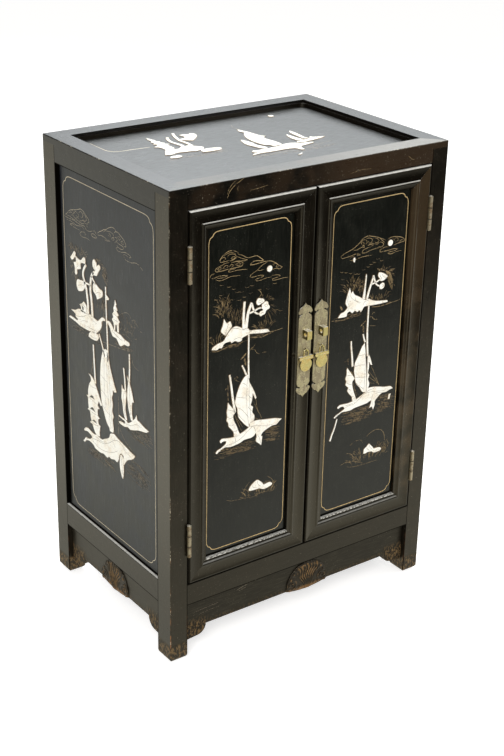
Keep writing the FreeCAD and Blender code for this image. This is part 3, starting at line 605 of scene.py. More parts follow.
# %% Brass
def brass(name, bright, tarnish, share, gloss, painted_light, relief=0.1, joints=(), stretch=(1.0, 1.0, 1.0)):
    """Clouds of tarnish and dark pits. By as much as the painted light share says, sides that face
    left get painted shade and what faces up a painted highlight; joints are heights at which a
    knuckle ends in a dark line; stretch draws the clouds out along an axis."""
    f = Finish(name)
    cloud, fine = f.noise(7.0, 4.0, stretch), f.noise(1.1, 3.0, stretch)
    dull = (cloud * 0.7 + fine * 0.3).fade(0.62 - 0.3 * share, 0.72 - 0.3 * share)
    colour = f.mix(dull, bright, tarnish)
    colour = f.mix(fine.fade(0.58, 0.72) * 0.6 * share, colour, paint(64, 56, 40))
    leftwards, _, upwards = f.parts(f.add("ShaderNodeTexCoord", output="Normal"))
    # Painted shade on sides that face left, a painted highlight on what faces up.
    colour = f.mix(leftwards.fade(-0.35, -0.9) * painted_light, colour, paint(66, 58, 30))
    colour = f.mix(upwards.fade(0.45, 0.9) * painted_light, colour, paint(246, 243, 232))
    for height in joints:
        colour = f.mix(abs(f.z - height).fade(1.1, 0.5) * 0.9, colour, paint(26, 20, 14))
    return f.surface(base_color=colour, metallic=0.85 - 0.6 * dull, normal=f.bump(cloud + fine * 0.6, relief),
                     roughness=gloss + 0.25 * dull + 0.15 * fine)


knuckle_ends = (202.5, 220.5, 642.5, 660.5)
hinge_brass = brass("hinge_brass", paint(186, 174, 148), paint(124, 104, 76), share=0.5, gloss=0.38,
                    painted_light=0.7, joints=knuckle_ends)
plate_brass = brass("plate_brass", paint(218, 207, 166), paint(148, 136, 106), share=0.6, gloss=0.4,
                    relief=0.3, painted_light=0.7, stretch=(1.0, 1.0, 2.2))
fitting_brass = brass("fitting_brass", paint(250, 234, 158), paint(206, 180, 106), share=0.48, gloss=0.26,
                      painted_light=0.95)
brass_for = {"hinge_leaves": hinge_brass, "hinge_pins": hinge_brass, "hinge_screws": hinge_brass,
             "_plate": plate_brass, "_plate_nails": plate_brass,
             "_staple": fitting_brass, "_eye_pin": fitting_brass, "_pull": fitting_brass}
fittings = [(node, metal) for node in nodes for ending, metal in brass_for.items() if node.endswith(ending)]
for node, metal in fittings:
    coat(node, metal)
print(len(fittings), "fittings of three kinds of brass")

# %% [markdown]
# ## Faces to decorate
# The pictures are inlays of pale carved stone, finished with thin gilt lines. All of them
# are drawn flat, so one small class knows where a flat face is. The drawings were made on a
# sheet a little in front of or behind the real panel, as the eye sees it, so each point is
# carried to the panel along the line of sight: by the same small share of its distance from
# the point opposite the eye.


# %% Faces
class Face:
    """A flat face: across and up lie in it, and their cross product points out of it."""

    def __init__(self, origin, across, up, facing_eye=(0.0, 0.0), share=0.0):
        self.origin, self.across, self.up = (np.array(v, float) for v in (origin, across, up))
        self.out = np.cross(self.across, self.up)
        self.facing_eye, self.share = np.array(facing_eye), share

    def place(self, points, height):
        """Carry the drawing to the face, then origin + u across + v up + height out."""
        points = points + (points - self.facing_eye) * self.share
        return (self.origin + points[:, :1] * self.across + points[:, 1:] * self.up
                + np.reshape(height, (-1, 1)) * self.out)


door_sheet_y, side_sheet_x, top_sheet_z = -168.0, 242.0, 749.0
door_share = (door_panel_y - door_sheet_y) / (door_sheet_y - eye[1])
side_share = (side_sheet_x - side_panel_x) / (-eye[0] - side_sheet_x)
top_share = (top_panel_z - top_sheet_z) / (top_sheet_z - eye[2])
doors_face = Face((0, door_panel_y, 0), (1, 0, 0), (0, 0, 1), (eye[0], eye[2]), door_share)
left_face = Face((-side_panel_x, 0, 0), (0, -1, 0), (0, 0, 1), (-eye[1], eye[2]), side_share)
right_face = Face((side_panel_x, 2 * middle_y, 0), (0, 1, 0), (0, 0, 1), (-eye[1], eye[2]), side_share)
top_face = Face((0, 0, top_panel_z), (1, 0, 0), (0, 1, 0), eye[:2], top_share)
print("shares", round(door_share, 5), round(side_share, 5), round(top_share, 5))


# %% [markdown]
# ## Curves through hand-drawn points
# An outline is a few points; a smooth curve through them is easier to draw than one made of
# control points beside it. Each span is a cubic between two points. A saw cuts sharp corners
# as well as curves, so where the points turn sharply the curve does too.

# %% Smooth lines
def smooth_line(points, spacing=1.6, closed=False):
    """Hermite: from b to c, at t, the curve is (2t^3-3t^2+1)b + (t^3-2t^2+t)m + (3t^2-2t^3)c +
    (t^3-t^2)n. The tangents m and n run along the chord past each point and are as long as the
    shorter span beside it; where the line turns sharply they lie along their own span instead,
    so that a corner stays a corner and no curve runs past its points."""
    p = np.asarray(points, float)
    before, after = np.roll(p, 1, 0), np.roll(p, -1, 0)
    if not closed:
        before[0], after[-1] = 2 * p[0] - p[1], 2 * p[-1] - p[-2]
    back, ahead = p - before, after - p
    back_length, ahead_length = np.linalg.norm(back, axis=1), np.linalg.norm(ahead, axis=1)
    straight = np.sum(back * ahead, axis=1) / np.maximum(back_length * ahead_length, 1e-9)
    soft = np.clip((straight + 0.1) / 0.7, 0.0, 1.0)[:, None]
    chord = after - before
    chord /= np.maximum(np.linalg.norm(chord, axis=1, keepdims=True), 1e-9)
    curved = chord * np.minimum(back_length, ahead_length)[:, None]
    ends = slice(None) if closed else slice(0, -1)
    b, c, span_chord = p[ends], after[ends], ahead[ends]
    m = (soft * curved)[ends] + (1 - soft[ends]) * span_chord
    n = np.roll(soft * curved, -1, 0)[ends] + (1 - np.roll(soft, -1, 0)[ends]) * span_chord
    counts = np.maximum(1, np.round(np.linalg.norm(span_chord, axis=1) / spacing)).astype(int)
    span = np.repeat(np.arange(len(b)), counts)
    first = np.repeat(np.cumsum(counts) - counts, counts)
    t = ((np.arange(len(span)) - first) / counts[span])[:, None]
    line = ((2 * t ** 3 - 3 * t ** 2 + 1) * b[span] + (t ** 3 - 2 * t ** 2 + t) * m[span]
            + (3 * t ** 2 - 2 * t ** 3) * c[span] + (t ** 3 - t ** 2) * n[span])
    return line if closed else np.vstack([line, p[-1:]])


def circle(u, v, radius):
    """Ten points on a circle about u, v."""
    turn = np.arange(10) * 2 * np.pi / 10
    return np.stack([u + radius * np.cos(turn), v + radius * np.sin(turn)], 1)


def left_normals(line, closed):
    """Unit normals to the left of a line, from the difference of each point's neighbours."""
    ahead = (np.roll(line, -1, 0) - np.roll(line, 1, 0)) if closed else np.gradient(line, axis=0)
    ahead /= np.maximum(np.linalg.norm(ahead, axis=1, keepdims=True), 1e-6)
    return np.stack([-ahead[:, 1], ahead[:, 0]], 1)


def make_piece(name, points, faces, material, body, smooth, key, values):
    """A mesh from points in millimetres, riding on a body; its points keep the values under a key."""
    mesh = bpy.data.meshes.new(name)
    mesh.from_pydata((points / 1000.0).tolist(), [], faces)
    mesh.attributes.new(key, "FLOAT", "POINT").data.foreach_set("value", values.astype(np.float32))
    mesh.polygons.foreach_set("use_smooth", [smooth] * len(mesh.polygons))
    mesh.update()
    made = bpy.data.objects.new(name, mesh)
    bpy.context.collection.objects.link(made)
    mesh.materials.append(material)
    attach(made, body)


print("drawing on five faces, with smooth lines")


# %% [markdown]
# ## Inlay plates
# A real inlay is a slip of soft stone, sawn to its outline, let into the ground and rubbed
# until its edge is round. A plate here is three rings round the outline: one just under the
# panel, one on the shoulder and one drawn in on top, closed by one many-sided face.

# %% Plates
def crossings(ring):
    """How often a closed line crosses itself: sides a and b cross when each end pair of the one
    lies on both sides of the other."""
    ends = np.roll(ring, -1, 0)
    run = ends - ring

    def side(point):
        away = point[None] - ring[:, None]
        return run[:, None, 0] * away[..., 1] - run[:, None, 1] * away[..., 0]

    split = side(ring) * side(ends) < -1e-9
    return int(np.sum(split & split.T)) // 2


def slip(width, points):
    """A mast, trunk or branch: a strip of one width along its middle line, as an outline."""
    line = smooth_line(points, 2.5)
    share = np.linspace(0.0, 1.0, len(line))[:, None]
    side = left_normals(line, False) * (0.5 * width * (1.0 - 0.25 * share))
    return np.vstack([line + side, (line - side)[::-1]])


sunk, shoulder = 0.3, 0.3


def plates(name, outlines, face, material, body, thickness=0.9):
    """Rings: outline sunk in the panel, outline a shoulder below the full thickness, outline
    moved in by as much at full thickness; quads join the rings and the last ring is one face.
    `rim` is 1 on the outline."""
    points, faces, rims, start, crossed = [], [], [], 0, []
    for outline in outlines:
        ring = smooth_line(outline, closed=True)
        after = np.roll(ring, -1, 0)
        if np.sum(ring[:, 0] * after[:, 1] - after[:, 0] * ring[:, 1]) < 0:
            ring = ring[::-1]
        inner = ring + shoulder * left_normals(ring, True)
        count = len(ring)
        if crossings(ring):
            crossed.append([round(float(v)) for v in ring[0]])
        rims.append(np.repeat([1.0, 1.0, 0.0], count))
        for layer, height in ((ring, -sunk), (ring, thickness - shoulder), (inner, thickness)):
            points.append(face.place(layer, np.full(count, height)))
        here = np.arange(count)
        there = np.roll(here, -1)
        for level in (0, count):
            low = start + level
            faces += np.stack([low + here, low + there, low + count + there, low + count + here], 1).tolist()
        faces.append((start + 2 * count + here).tolist())
        start += 3 * count
    make_piece(name, np.vstack(points), faces, material, body, False, "rim",
               np.concatenate(rims))
    print(name, len(outlines), "plates,", len(faces), "faces; outlines that cross themselves:", crossed)


# %% [markdown]
# ## Gilt lines
# The gilder lays a line of size with a fine brush and dusts gold powder on it. It is a thin
# ridge, thick in the middle of the stroke and tapering off. Each line here is a ribbon three
# points wide whose sides dip into the panel; its width dies away at both ends. A number on
# its points, `tone`, says how bright the gold still is.

# %% Ribbons
ridge, dip = 0.22, 0.06


def ribbons(name, strokes, face, material, body, lift=0.0):
    """A stroke is (width, tone, points). Half width is 0.44 of the width times the fourth root
    of 4t(1-t), or even all the way round when the stroke ends where it began. Its middle
    stands a ridge above the face, and its sides dip under it."""
    points, faces, tones, start = [], [], [], 0
    for width, tone, line in strokes:
        line = np.asarray(line, float)
        closed = bool(np.allclose(line[0], line[-1]))
        path = smooth_line(line[:-1] if closed else line, 2.0, closed)
        count = len(path)
        t = np.linspace(0.0, 1.0, count)
        half = 0.44 * width * (np.ones(count) if closed else np.maximum(4 * t * (1 - t), 0.004) ** 0.25)
        side = left_normals(path, closed) * half[:, None]
        for layer, height in ((path + side, -dip), (path, ridge), (path - side, -dip)):
            points.append(face.place(layer, np.full(count, lift + height)))
        here = np.arange(count if closed else count - 1)
        there = (here + 1) % count
        for row in (0, count):
            low = start + row
            faces += np.stack([low + here, low + count + here, low + count + there, low + there], 1).tolist()
        tones.append(np.full(3 * count, tone))
        start += 3 * count
    make_piece(name, np.vstack(points), faces, material, body, True, "tone",
               np.concatenate(tones))
    print(name, len(strokes), "lines,", len(faces), "faces")


def shadow_lines(outlines, width=1.7):
    """The brown size that shows round each slip, with painted shadow: a closed line on its outline."""
    return [(width, 0.3, np.vstack([outline, outline[:1]])) for outline in outlines]


def inked(lines, width=0.85):
    """Engraved lines, rubbed with brown: a stroke for each list of points."""
    return [(width, 0.3, line) for line in lines]


print("plates and ribbons ready")


# %% [markdown]
# ## Stone and gold
# The stone is ivory white with grey veins and tan stains in its carved hollows. The gilding
# is a tan gold that has rubbed thin: where its tone is low the brown size shows, and small
# gaps let the black through. The sides, the top and the apron scratches have a paler copy,
# with a painted sheen of light.

# %% Stone and gold finishes
def carved_stone():
    """Ivory white, with grey veins that come and go, tan blots and a brown rim."""
    f = Finish("ivory_stone")
    vein, blot, fine = f.noise(5.5, 5.0), f.noise(17.0, 3.0), f.noise(1.2, 2.0)
    line = abs(vein - 0.5).fade(0.022, 0.0)
    colour = f.mix(blot.fade(0.42, 0.7) * 0.6, paint(255, 252, 240), paint(242, 228, 200))
    colour = f.mix(line * blot.fade(0.38, 0.58) * 0.55, colour, paint(158, 124, 92))
    colour = f.mix(fine.fade(0.68, 0.78) * 0.35, colour, paint(190, 166, 138))
    colour = f.mix(f.on_points("rim") * 0.85, colour, paint(134, 100, 64))
    relief = vein + fine * 0.25 - line * 0.4
    return f.surface(base_color=colour, roughness=0.4 + 0.15 * fine, normal=f.bump(relief, 0.45))


def gold_line(name, size, leaf):
    """From the brown size to the gold leaf by tone; faint strokes have more gaps."""
    f = Finish(name)
    tone, cloud = f.on_points("tone"), f.noise(12.0, 3.0)
    whole = (f.noise(3.2, 4.0) - 0.16 * (0.8 - tone)).fade(0.34, 0.42).most(tone.fade(0.86, 0.9))
    colour = f.mix(tone * (0.6 + 0.8 * (cloud - 0.2)), size, leaf)
    colour = f.mix(whole, paint(46, 34, 20), colour)
    return f.surface(base_color=colour, metallic=0.2 * whole, roughness=0.5 - 0.1 * whole)


ivory = carved_stone()
gold = gold_line("rubbed_gold", paint(56, 37, 20), paint(228, 196, 138))
# A paler copy of the gold, with a painted sheen of light over it, for the side and top pictures and the apron
# scratches.
sheen_pale_gold = gold_line("sheen_pale_gold", paint(66, 50, 36), paint(206, 192, 164))


def picture(name, face, body, stone, cut, lines, leaf, thickness=0.9, pierced=()):
    """One panel's picture: slips of stone, black slips where they are pierced, engraving on
    them, and gilt lines on the panel."""
    plates(name + "_stone", stone, face, ivory, body, thickness)
    if pierced:
        plates(name + "_pierced", pierced, face, ground_black, body, thickness + 0.1)
    ribbons(name + "_engraving", cut, face, gold, body, lift=thickness - 0.05)
    ribbons(name + "_gold", lines, face, leaf, body)


print("one stone and two golds")


# %% [markdown]
# ## Borders, water and leaves
# Each panel has one gilt line round it, with corners drawn in to a small point, like the
# frame of a fan painting. One corner is a short curve measured from the corner itself; the
# four are turned copies of it, joined by the straight sides. Water, grass and drooping leaves
# are short strokes scattered by chance, from a seed, so that they fall the same way each time.

# %% Borders, water and leaves
corner_curve = np.array([(6.6, 6.6), (3.4, 8.2), (1.1, 11.5), (0.2, 16.0), (0, 22)], float)


def border(u0, u1, v0, v1, width=1.7, step=1.0):
    """One closed line. Each corner is two convex curves that meet in a point; its points are
    (distance from the side, distance along it), and the second curve is the first mirrored."""
    off, along = (corner_curve * step).T
    loop = []
    for u, v, du, dv in ((u0, v0, 1, 1), (u1, v0, -1, 1), (u1, v1, -1, -1), (u0, v1, 1, -1)):
        beside = np.stack([u + du * off, v + dv * along], 1)
        under = np.stack([u + du * along, v + dv * off], 1)
        loop += [beside[::-1], under[1:]] if du == dv else [under[::-1], beside[1:]]
    loop = np.vstack(loop)
    return [(width, 0.95, np.vstack([loop, loop[:1]]))]


def ripples(seed, u0, u1, v0, v1, count, tone=0.45, width=0.5, tilt=0.0):
    """Water: short strokes with small waves, scattered over the patch from u0 to u1 and v0 to
    v1, and sloping by tilt."""
    r = np.random.default_rng(seed)
    lines = []
    for _ in range(count):
        long = r.uniform(8, 26)
        u, v = r.uniform(u0, max(u0 + 1, u1 - long)), r.uniform(v0, v1)
        s = np.linspace(0, 1, 6)
        bend = 0.6 * np.sin(s * 2 * np.pi * r.uniform(0.8, 1.6) + r.uniform(0, 6)) - tilt * s * long
        lines.append((width * r.uniform(0.7, 1.3), tone * r.uniform(0.5, 1.2),
                      np.stack([u + s * long, v + bend], 1)))
    return lines


def tufts(seed, u0, u1, v0, v1, count, size=7.0, tone=0.5, width=0.6, spread=0.9):
    """Grass and leaves: short arcs that fan out from the bottom of a patch."""
    r = np.random.default_rng(seed)
    lines = []
    for _ in range(count):
        u, v = r.uniform(u0, u1), r.uniform(v0, v1)
        lean = (u - 0.5 * (u0 + u1)) / (0.5 * (u1 - u0) + 1e-6) * spread + r.uniform(-0.35, 0.35)
        s = np.linspace(0, 1, 4)
        long = size * r.uniform(0.6, 1.4)
        lines.append((width * r.uniform(0.7, 1.4), tone * r.uniform(0.5, 1.3),
                      np.stack([u + lean * long * s ** 1.4, v + long * (s - 0.45 * abs(lean) * s ** 2)], 1)))
    return lines


def fringe(seed, u, v, radius, start, end, count, tone=0.45, size=9.0):
    """Drooping leaves round a flower: arcs that leave a circle and bend down."""
    r = np.random.default_rng(seed)
    lines = []
    for turn in np.radians(r.uniform(start, end, count)):
        s, long = np.linspace(0, 1, 4), size * r.uniform(0.6, 1.4)
        away = radius * r.uniform(0.8, 1.15) + long * s
        droop = 0.55 * long * s ** 2
        lines.append((0.7 * r.uniform(0.7, 1.3), tone * r.uniform(0.5, 1.3),
                      np.stack([u + away * np.cos(turn), v + away * np.sin(turn) - droop], 1)))
    return lines


print("drawing tools ready")

# %% [markdown]
# ## The left door's picture
# A junk under sail on rippled water, an island with trees above it, and clouds with a moon
# over them. The stone slips are the ship, island, trees and moon; water, clouds, rigging and
# grass are gold. Each outline was drawn in millimetres.

# %% Left door
left_door_stone = [
    circle(-80.5, 618, 4.8),
    slip(5, [(-125, 532), (-125.5, 550), (-125, 563), (-124, 576)]),
    slip(5.6, [(-121, 532), (-119.5, 545), (-117.4, 557), (-113.5, 567), (-111, 571.5)]),
    slip(3.4, [(-111, 569.5), (-108.2, 561), (-104.7, 555), (-101, 552.5), (-98.3, 551.4)]),
    slip(3.0, [(-115, 556), (-106, 557.7), (-100.4, 559.8), (-94.6, 560.4)]),
    [(-103.3, 571.6), (-101.1, 575.3), (-98.3, 576.2), (-94.7, 574.8), (-91.2, 574), (-88.4, 570.8),
     (-88.6, 568.8), (-91.4, 567.4), (-94.4, 566.6), (-96.9, 565.4), (-100.4, 565.5), (-102.5, 568.1)],
    [(-85.5, 568.6), (-82.7, 567.5), (-81.3, 565.1), (-80.9, 562.4), (-78.8, 560.1), (-78.4, 557.8),
     (-80.6, 555.5), (-83.4, 554.8), (-85.5, 553.1), (-86.4, 550.1), (-88.4, 548.6), (-91.2, 548.2),
     (-94.7, 546.8), (-96.9, 549), (-97.9, 551.4), (-96.2, 554.3), (-93.3, 555.1), (-90.5, 555.6),
     (-91.2, 557.2), (-94, 559.3), (-93, 561.6), (-93, 564.8), (-90.6, 566.4), (-88, 568)],
    [(-165, 538), (-162, 547), (-160, 557), (-155, 549), (-149, 551), (-146, 543), (-150, 538), (-157, 530)],
    [(-159, 524), (-150, 536), (-140, 541), (-130, 537), (-124, 533), (-117, 533), (-114, 529), (-100, 527),
     (-82, 524), (-77, 519), (-90, 519.5), (-113, 523), (-127, 520), (-128, 516), (-134, 515), (-140, 518),
     (-146, 516), (-148, 519), (-156, 519), (-160, 517), (-163, 512), (-168, 513), (-172, 511), (-181, 513),
     (-180, 516), (-172, 520), (-162, 522)],
    slip(3.0, [(-114, 452), (-115, 480), (-115.5, 524)]),
    slip(3.0, [(-118.5, 459), (-122, 467), (-126.5, 476)]),
    slip(4.2, [(-138, 403), (-142, 425), (-145, 445), (-148.5, 466)]),
    [(-117, 459), (-123, 455), (-130, 445), (-134, 435), (-137, 425), (-138, 417), (-134, 408), (-133, 400),
     (-131, 392), (-125, 384), (-119, 377), (-112, 371), (-110, 378), (-103, 380), (-102, 388), (-106, 395),
     (-105, 403), (-109, 407), (-107, 415), (-106, 426), (-101, 415), (-99, 417), (-104, 430), (-111, 443),
     (-114, 452), (-115, 459)],
    [(-151, 422), (-146, 415), (-141, 409), (-137, 403), (-141, 398), (-140, 391), (-137, 384), (-134, 378),
     (-131, 370), (-128, 364), (-135, 361), (-139, 362), (-140, 370), (-144, 376), (-149, 382), (-150, 388),
     (-153, 393), (-152, 399), (-153, 406), (-152, 413)],
    [(-50, 369), (-62, 373), (-80, 376), (-98, 379), (-110, 378), (-111, 372), (-120, 367), (-130, 364),
     (-138, 362), (-150, 363), (-161, 365), (-165, 362), (-163, 358), (-159, 360), (-153, 359), (-154, 355),
     (-160, 351), (-170, 347), (-172, 344), (-170, 342), (-163, 346), (-155, 349), (-145, 347), (-128, 349),
     (-120, 352), (-108, 352), (-102, 354), (-99, 358), (-97, 352), (-98, 344), (-92, 338), (-88, 334),
     (-87, 342), (-86, 349), (-89, 350), (-86, 355), (-78, 359), (-68, 362), (-60, 362), (-55, 366)],
    [(-110, 263), (-105, 270), (-99, 274), (-94, 276), (-89, 273), (-84, 268), (-81, 264), (-75, 265),
     (-69, 265), (-65, 262), (-66, 259), (-73, 257), (-80, 256), (-86, 258), (-90, 260), (-100, 260),
     (-108, 261)],
]
left_door_cut = inked([
    [(-152, 548), (-155, 540), (-158, 531), (-159, 525)], [(-146, 541), (-152, 535), (-158, 529)],
    [(-146, 539), (-136, 537), (-129, 533)],
    [(-146, 517), (-141, 521), (-133, 522), (-127, 519)], [(-125, 533), (-120, 534), (-116, 532)],
    [(-115, 523), (-114, 527), (-110, 528)],
    [(-116, 456), (-117, 440), (-117, 420), (-116, 400), (-114, 385), (-112, 373)],
    [(-113, 450), (-113, 430), (-111, 405), (-108, 382)],
    [(-137, 428), (-130, 425), (-118, 421)], [(-132, 409), (-126, 404), (-119, 396), (-112, 387)],
    [(-126, 448), (-120, 444), (-117, 441)],
    [(-134, 400), (-127, 391), (-118, 381)], [(-116, 428), (-110, 420), (-106, 417)],
    [(-115, 407), (-110, 400), (-106, 396)],
    [(-152, 411), (-146, 408), (-139, 405)], [(-152, 398), (-146, 395), (-140, 396)],
    [(-149, 385), (-144, 382), (-138, 384)], [(-141, 372), (-136, 371), (-132, 372)],
    [(-168, 344), (-155, 351), (-140, 352), (-125, 357), (-113, 366), (-104, 371)],
    [(-111, 372), (-98, 370), (-84, 366), (-66, 364)],
    [(-99, 358), (-100, 364), (-104, 371)], [(-138, 362), (-136, 355), (-137, 349)],
    [(-94, 353), (-91, 345), (-89, 337)],
    [(-104, 268), (-99, 264), (-93, 262)], [(-94, 275), (-92, 268), (-86, 262)],
    [(-99.5, 570), (-97, 572.5), (-93, 572), (-92, 570), (-96, 568.6), (-99.5, 570)],
    [(-88, 562), (-85.5, 564.5), (-83, 562), (-85.5, 559.5), (-88, 562)],
    [(-94.5, 549.8), (-92.5, 552.6), (-89, 552.4), (-89.6, 550.4)]])
left_door_gold = border(-187.0, -42.3, 177.8, 691.0) + [
    (0.95, 0.8, [(-136, 650), (-138, 654), (-145, 657), (-152, 658), (-160, 655), (-165, 651), (-168, 647),
     (-167, 644), (-160, 643.5), (-152, 644)]),
    (0.95, 0.85, [(-136, 650), (-130, 648), (-124, 644), (-118, 641.5), (-112, 642), (-104, 642),
     (-99, 639), (-94, 635), (-91, 633), (-95, 632.5), (-101, 634), (-108, 634.5), (-114, 632), (-115, 630),
     (-108, 629.5), (-98, 630), (-90, 630.5), (-84, 630), (-78, 629), (-70, 625), (-64, 620), (-57, 616),
     (-62, 614), (-70, 616), (-76, 615)]),
    (0.8, 0.75, [(-155, 650), (-152, 652.5), (-146, 652.5), (-141, 650), (-140, 646), (-145, 643.5),
     (-151, 643), (-153, 645)]),
    (0.8, 0.75, [(-149, 646), (-145, 648.5), (-141, 646.5), (-145, 644.5), (-149, 646)]),
    (0.8, 0.75, [(-168, 646), (-165, 649.5), (-160, 650), (-158, 647), (-162, 645)]),
    (0.8, 0.65, [(-162, 652), (-156, 654.5), (-148, 655), (-141, 652)]),
    (0.8, 0.7, [(-140, 648), (-134, 645), (-128, 642), (-120, 639), (-126, 638.5), (-134, 640), (-142, 641)]),
    (0.9, 0.8, [(-152, 641), (-160, 640.5), (-166, 638.5), (-172, 637), (-176, 634), (-174, 631),
     (-165, 630.5), (-155, 631), (-145, 631), (-135, 631), (-129, 632), (-128, 636), (-132, 638.5),
     (-140, 640), (-148, 640)]),
    (0.8, 0.7, [(-172, 634), (-169, 636.5), (-164, 634.5), (-168, 632.5), (-172, 634)]),
    (0.8, 0.7, [(-163, 634), (-158, 637.5), (-153, 635.5), (-157, 633), (-163, 634)]),
    (0.8, 0.7, [(-152, 634), (-148, 637.5), (-144, 635), (-148, 633)]),
    (0.8, 0.7, [(-141, 635.5), (-136, 637.5), (-131, 635), (-135, 633), (-141, 635.5)]),
    (0.85, 0.7, [(-140, 629.5), (-150, 629.5), (-154, 627.5), (-149, 626), (-140, 626.5), (-130, 626),
     (-120, 624.5)]),
    (0.85, 0.75, [(-176, 629), (-183, 627.5), (-184.5, 624), (-179, 622), (-170, 623.5), (-160, 623),
     (-154, 621.5), (-162, 620), (-173, 621)]),
    (0.85, 0.7, [(-175, 619.5), (-168, 616.5), (-160, 617), (-150, 619), (-140, 618.5), (-132, 617.5)]),
    (0.85, 0.8, [(-91, 619), (-97, 618), (-102, 620), (-97, 623.5), (-92, 626.5), (-85, 628.5)]),
    (0.8, 0.7, [(-74, 621), (-71, 624.5), (-66, 622), (-69, 618), (-63, 617)]),
    (0.85, 0.75, [(-101, 620), (-108, 617.5), (-114, 614), (-115, 611), (-108, 610.5), (-98, 611),
     (-90, 609.5), (-93, 607.5), (-100, 607), (-106, 606), (-103, 603.5), (-95, 603), (-86, 604.5),
     (-76, 604.5)]),
    (0.85, 0.7, [(-76, 606.5), (-66, 605.5), (-60, 603), (-68, 601.5), (-75, 601), (-74, 598.5), (-66, 598),
     (-55, 598.5), (-45, 597.5)]),
]
left_door_gold += [(0.8, 0.34, [(u, v), (u + 4, v - 1.6), (u + 8, v - 1)]) for u, v in (
    (-168, 610), (-156, 605), (-147, 600), (-141, 594), (-134, 593), (-124, 598), (-115, 599), (-169, 595),
    (-178, 590), (-160, 590),
    (-148, 584), (-137, 581), (-128, 584), (-118, 588), (-102, 590), (-74, 594), (-86, 588), (-176, 574),
    (-70, 552), (-62, 549))]
left_door_gold += [
    (0.9, 0.6, [(-99, 588), (-95, 585), (-94, 581), (-97, 578)]),
    (2.2, 0.3, [(-182, 511), (-172, 508.5), (-160, 510), (-146, 512.5), (-132, 512), (-124, 514)]),
    (2.4, 0.34, [(-114, 518), (-102, 515), (-92, 513.5), (-82, 515), (-70, 517)]),
    (1.0, 0.45, [(-80, 518), (-66, 518), (-52, 519)]),
    (0.8, 0.55, [(-113, 497), (-108, 500), (-103, 504)]),
    (0.8, 0.5, [(-110, 498), (-104, 496), (-100, 490), (-95, 487)]), (0.8, 0.4, [(-90, 488), (-80, 487)]),
    (3.4, 0.42, [(-130, 486), (-124, 489), (-119, 494)]),
    (4.6, 0.25, [(-122, 488), (-121, 480), (-119, 474)]),
    (2.6, 0.24, [(-151, 450), (-151, 437), (-150, 424)]), (1.6, 0.35, [(-156, 443), (-153, 446)]),
    (0.8, 0.5, [(-141, 456), (-136, 460), (-133, 458), (-138, 455), (-130, 450)]),
    (0.6, 0.55, [(-100, 417), (-97, 400), (-91, 385), (-86, 377)]),
    (0.6, 0.5, [(-104, 412), (-97, 397), (-88, 382)]), (0.6, 0.45, [(-106, 388), (-98, 382), (-90, 379)]),
    (0.6, 0.55, [(-139, 400), (-132, 384), (-125, 368)]),
    (0.6, 0.45, [(-137, 396), (-129, 384), (-122, 372)]),
    (0.8, 0.35, [(-152, 258), (-140, 253), (-120, 251), (-100, 248)]),
    (0.8, 0.4, [(-100, 248), (-84, 251), (-66, 248), (-56, 250)]),
    (0.8, 0.45, [(-122, 256), (-116, 268), (-108, 276)]), (0.8, 0.4, [(-62, 262), (-66, 270), (-74, 276)]),
]
left_door_gold += (
    shadow_lines(left_door_stone)
    + ripples(3, -178, -96, 333, 349, 84, tone=0.36, tilt=0.1)
    + ripples(4, -86, -50, 336, 361, 44, tone=0.36, tilt=0.16)
    + ripples(5, -186, -126, 508, 515, 22, tone=0.32)
    + tufts(6, -170, -150, 556, 584, 74, size=9.0, tone=0.36, width=0.7)
    + tufts(7, -102, -74, 522, 532, 34, size=9.0, tone=0.42)
    + tufts(8, -118, -62, 246, 262, 64, size=11.0, tone=0.5)
    + tufts(9, -152, -128, 538, 560, 44, size=12.0, tone=0.3, spread=0.3)
    + tufts(10, -182, -162, 518, 528, 26, size=9.0, tone=0.36)
    + fringe(11, -90, 561, 15, -80, 140, 30, tone=0.34)
    + ripples(12, -124, -76, 513, 521, 20, tone=0.34))
picture("left_door", doors_face, "left_door", left_door_stone, left_door_cut, left_door_gold, gold)

# %% [markdown]
# ## The right door's picture
# The two pictures are a pair, but no outline is repeated: the carver drew each one freely.

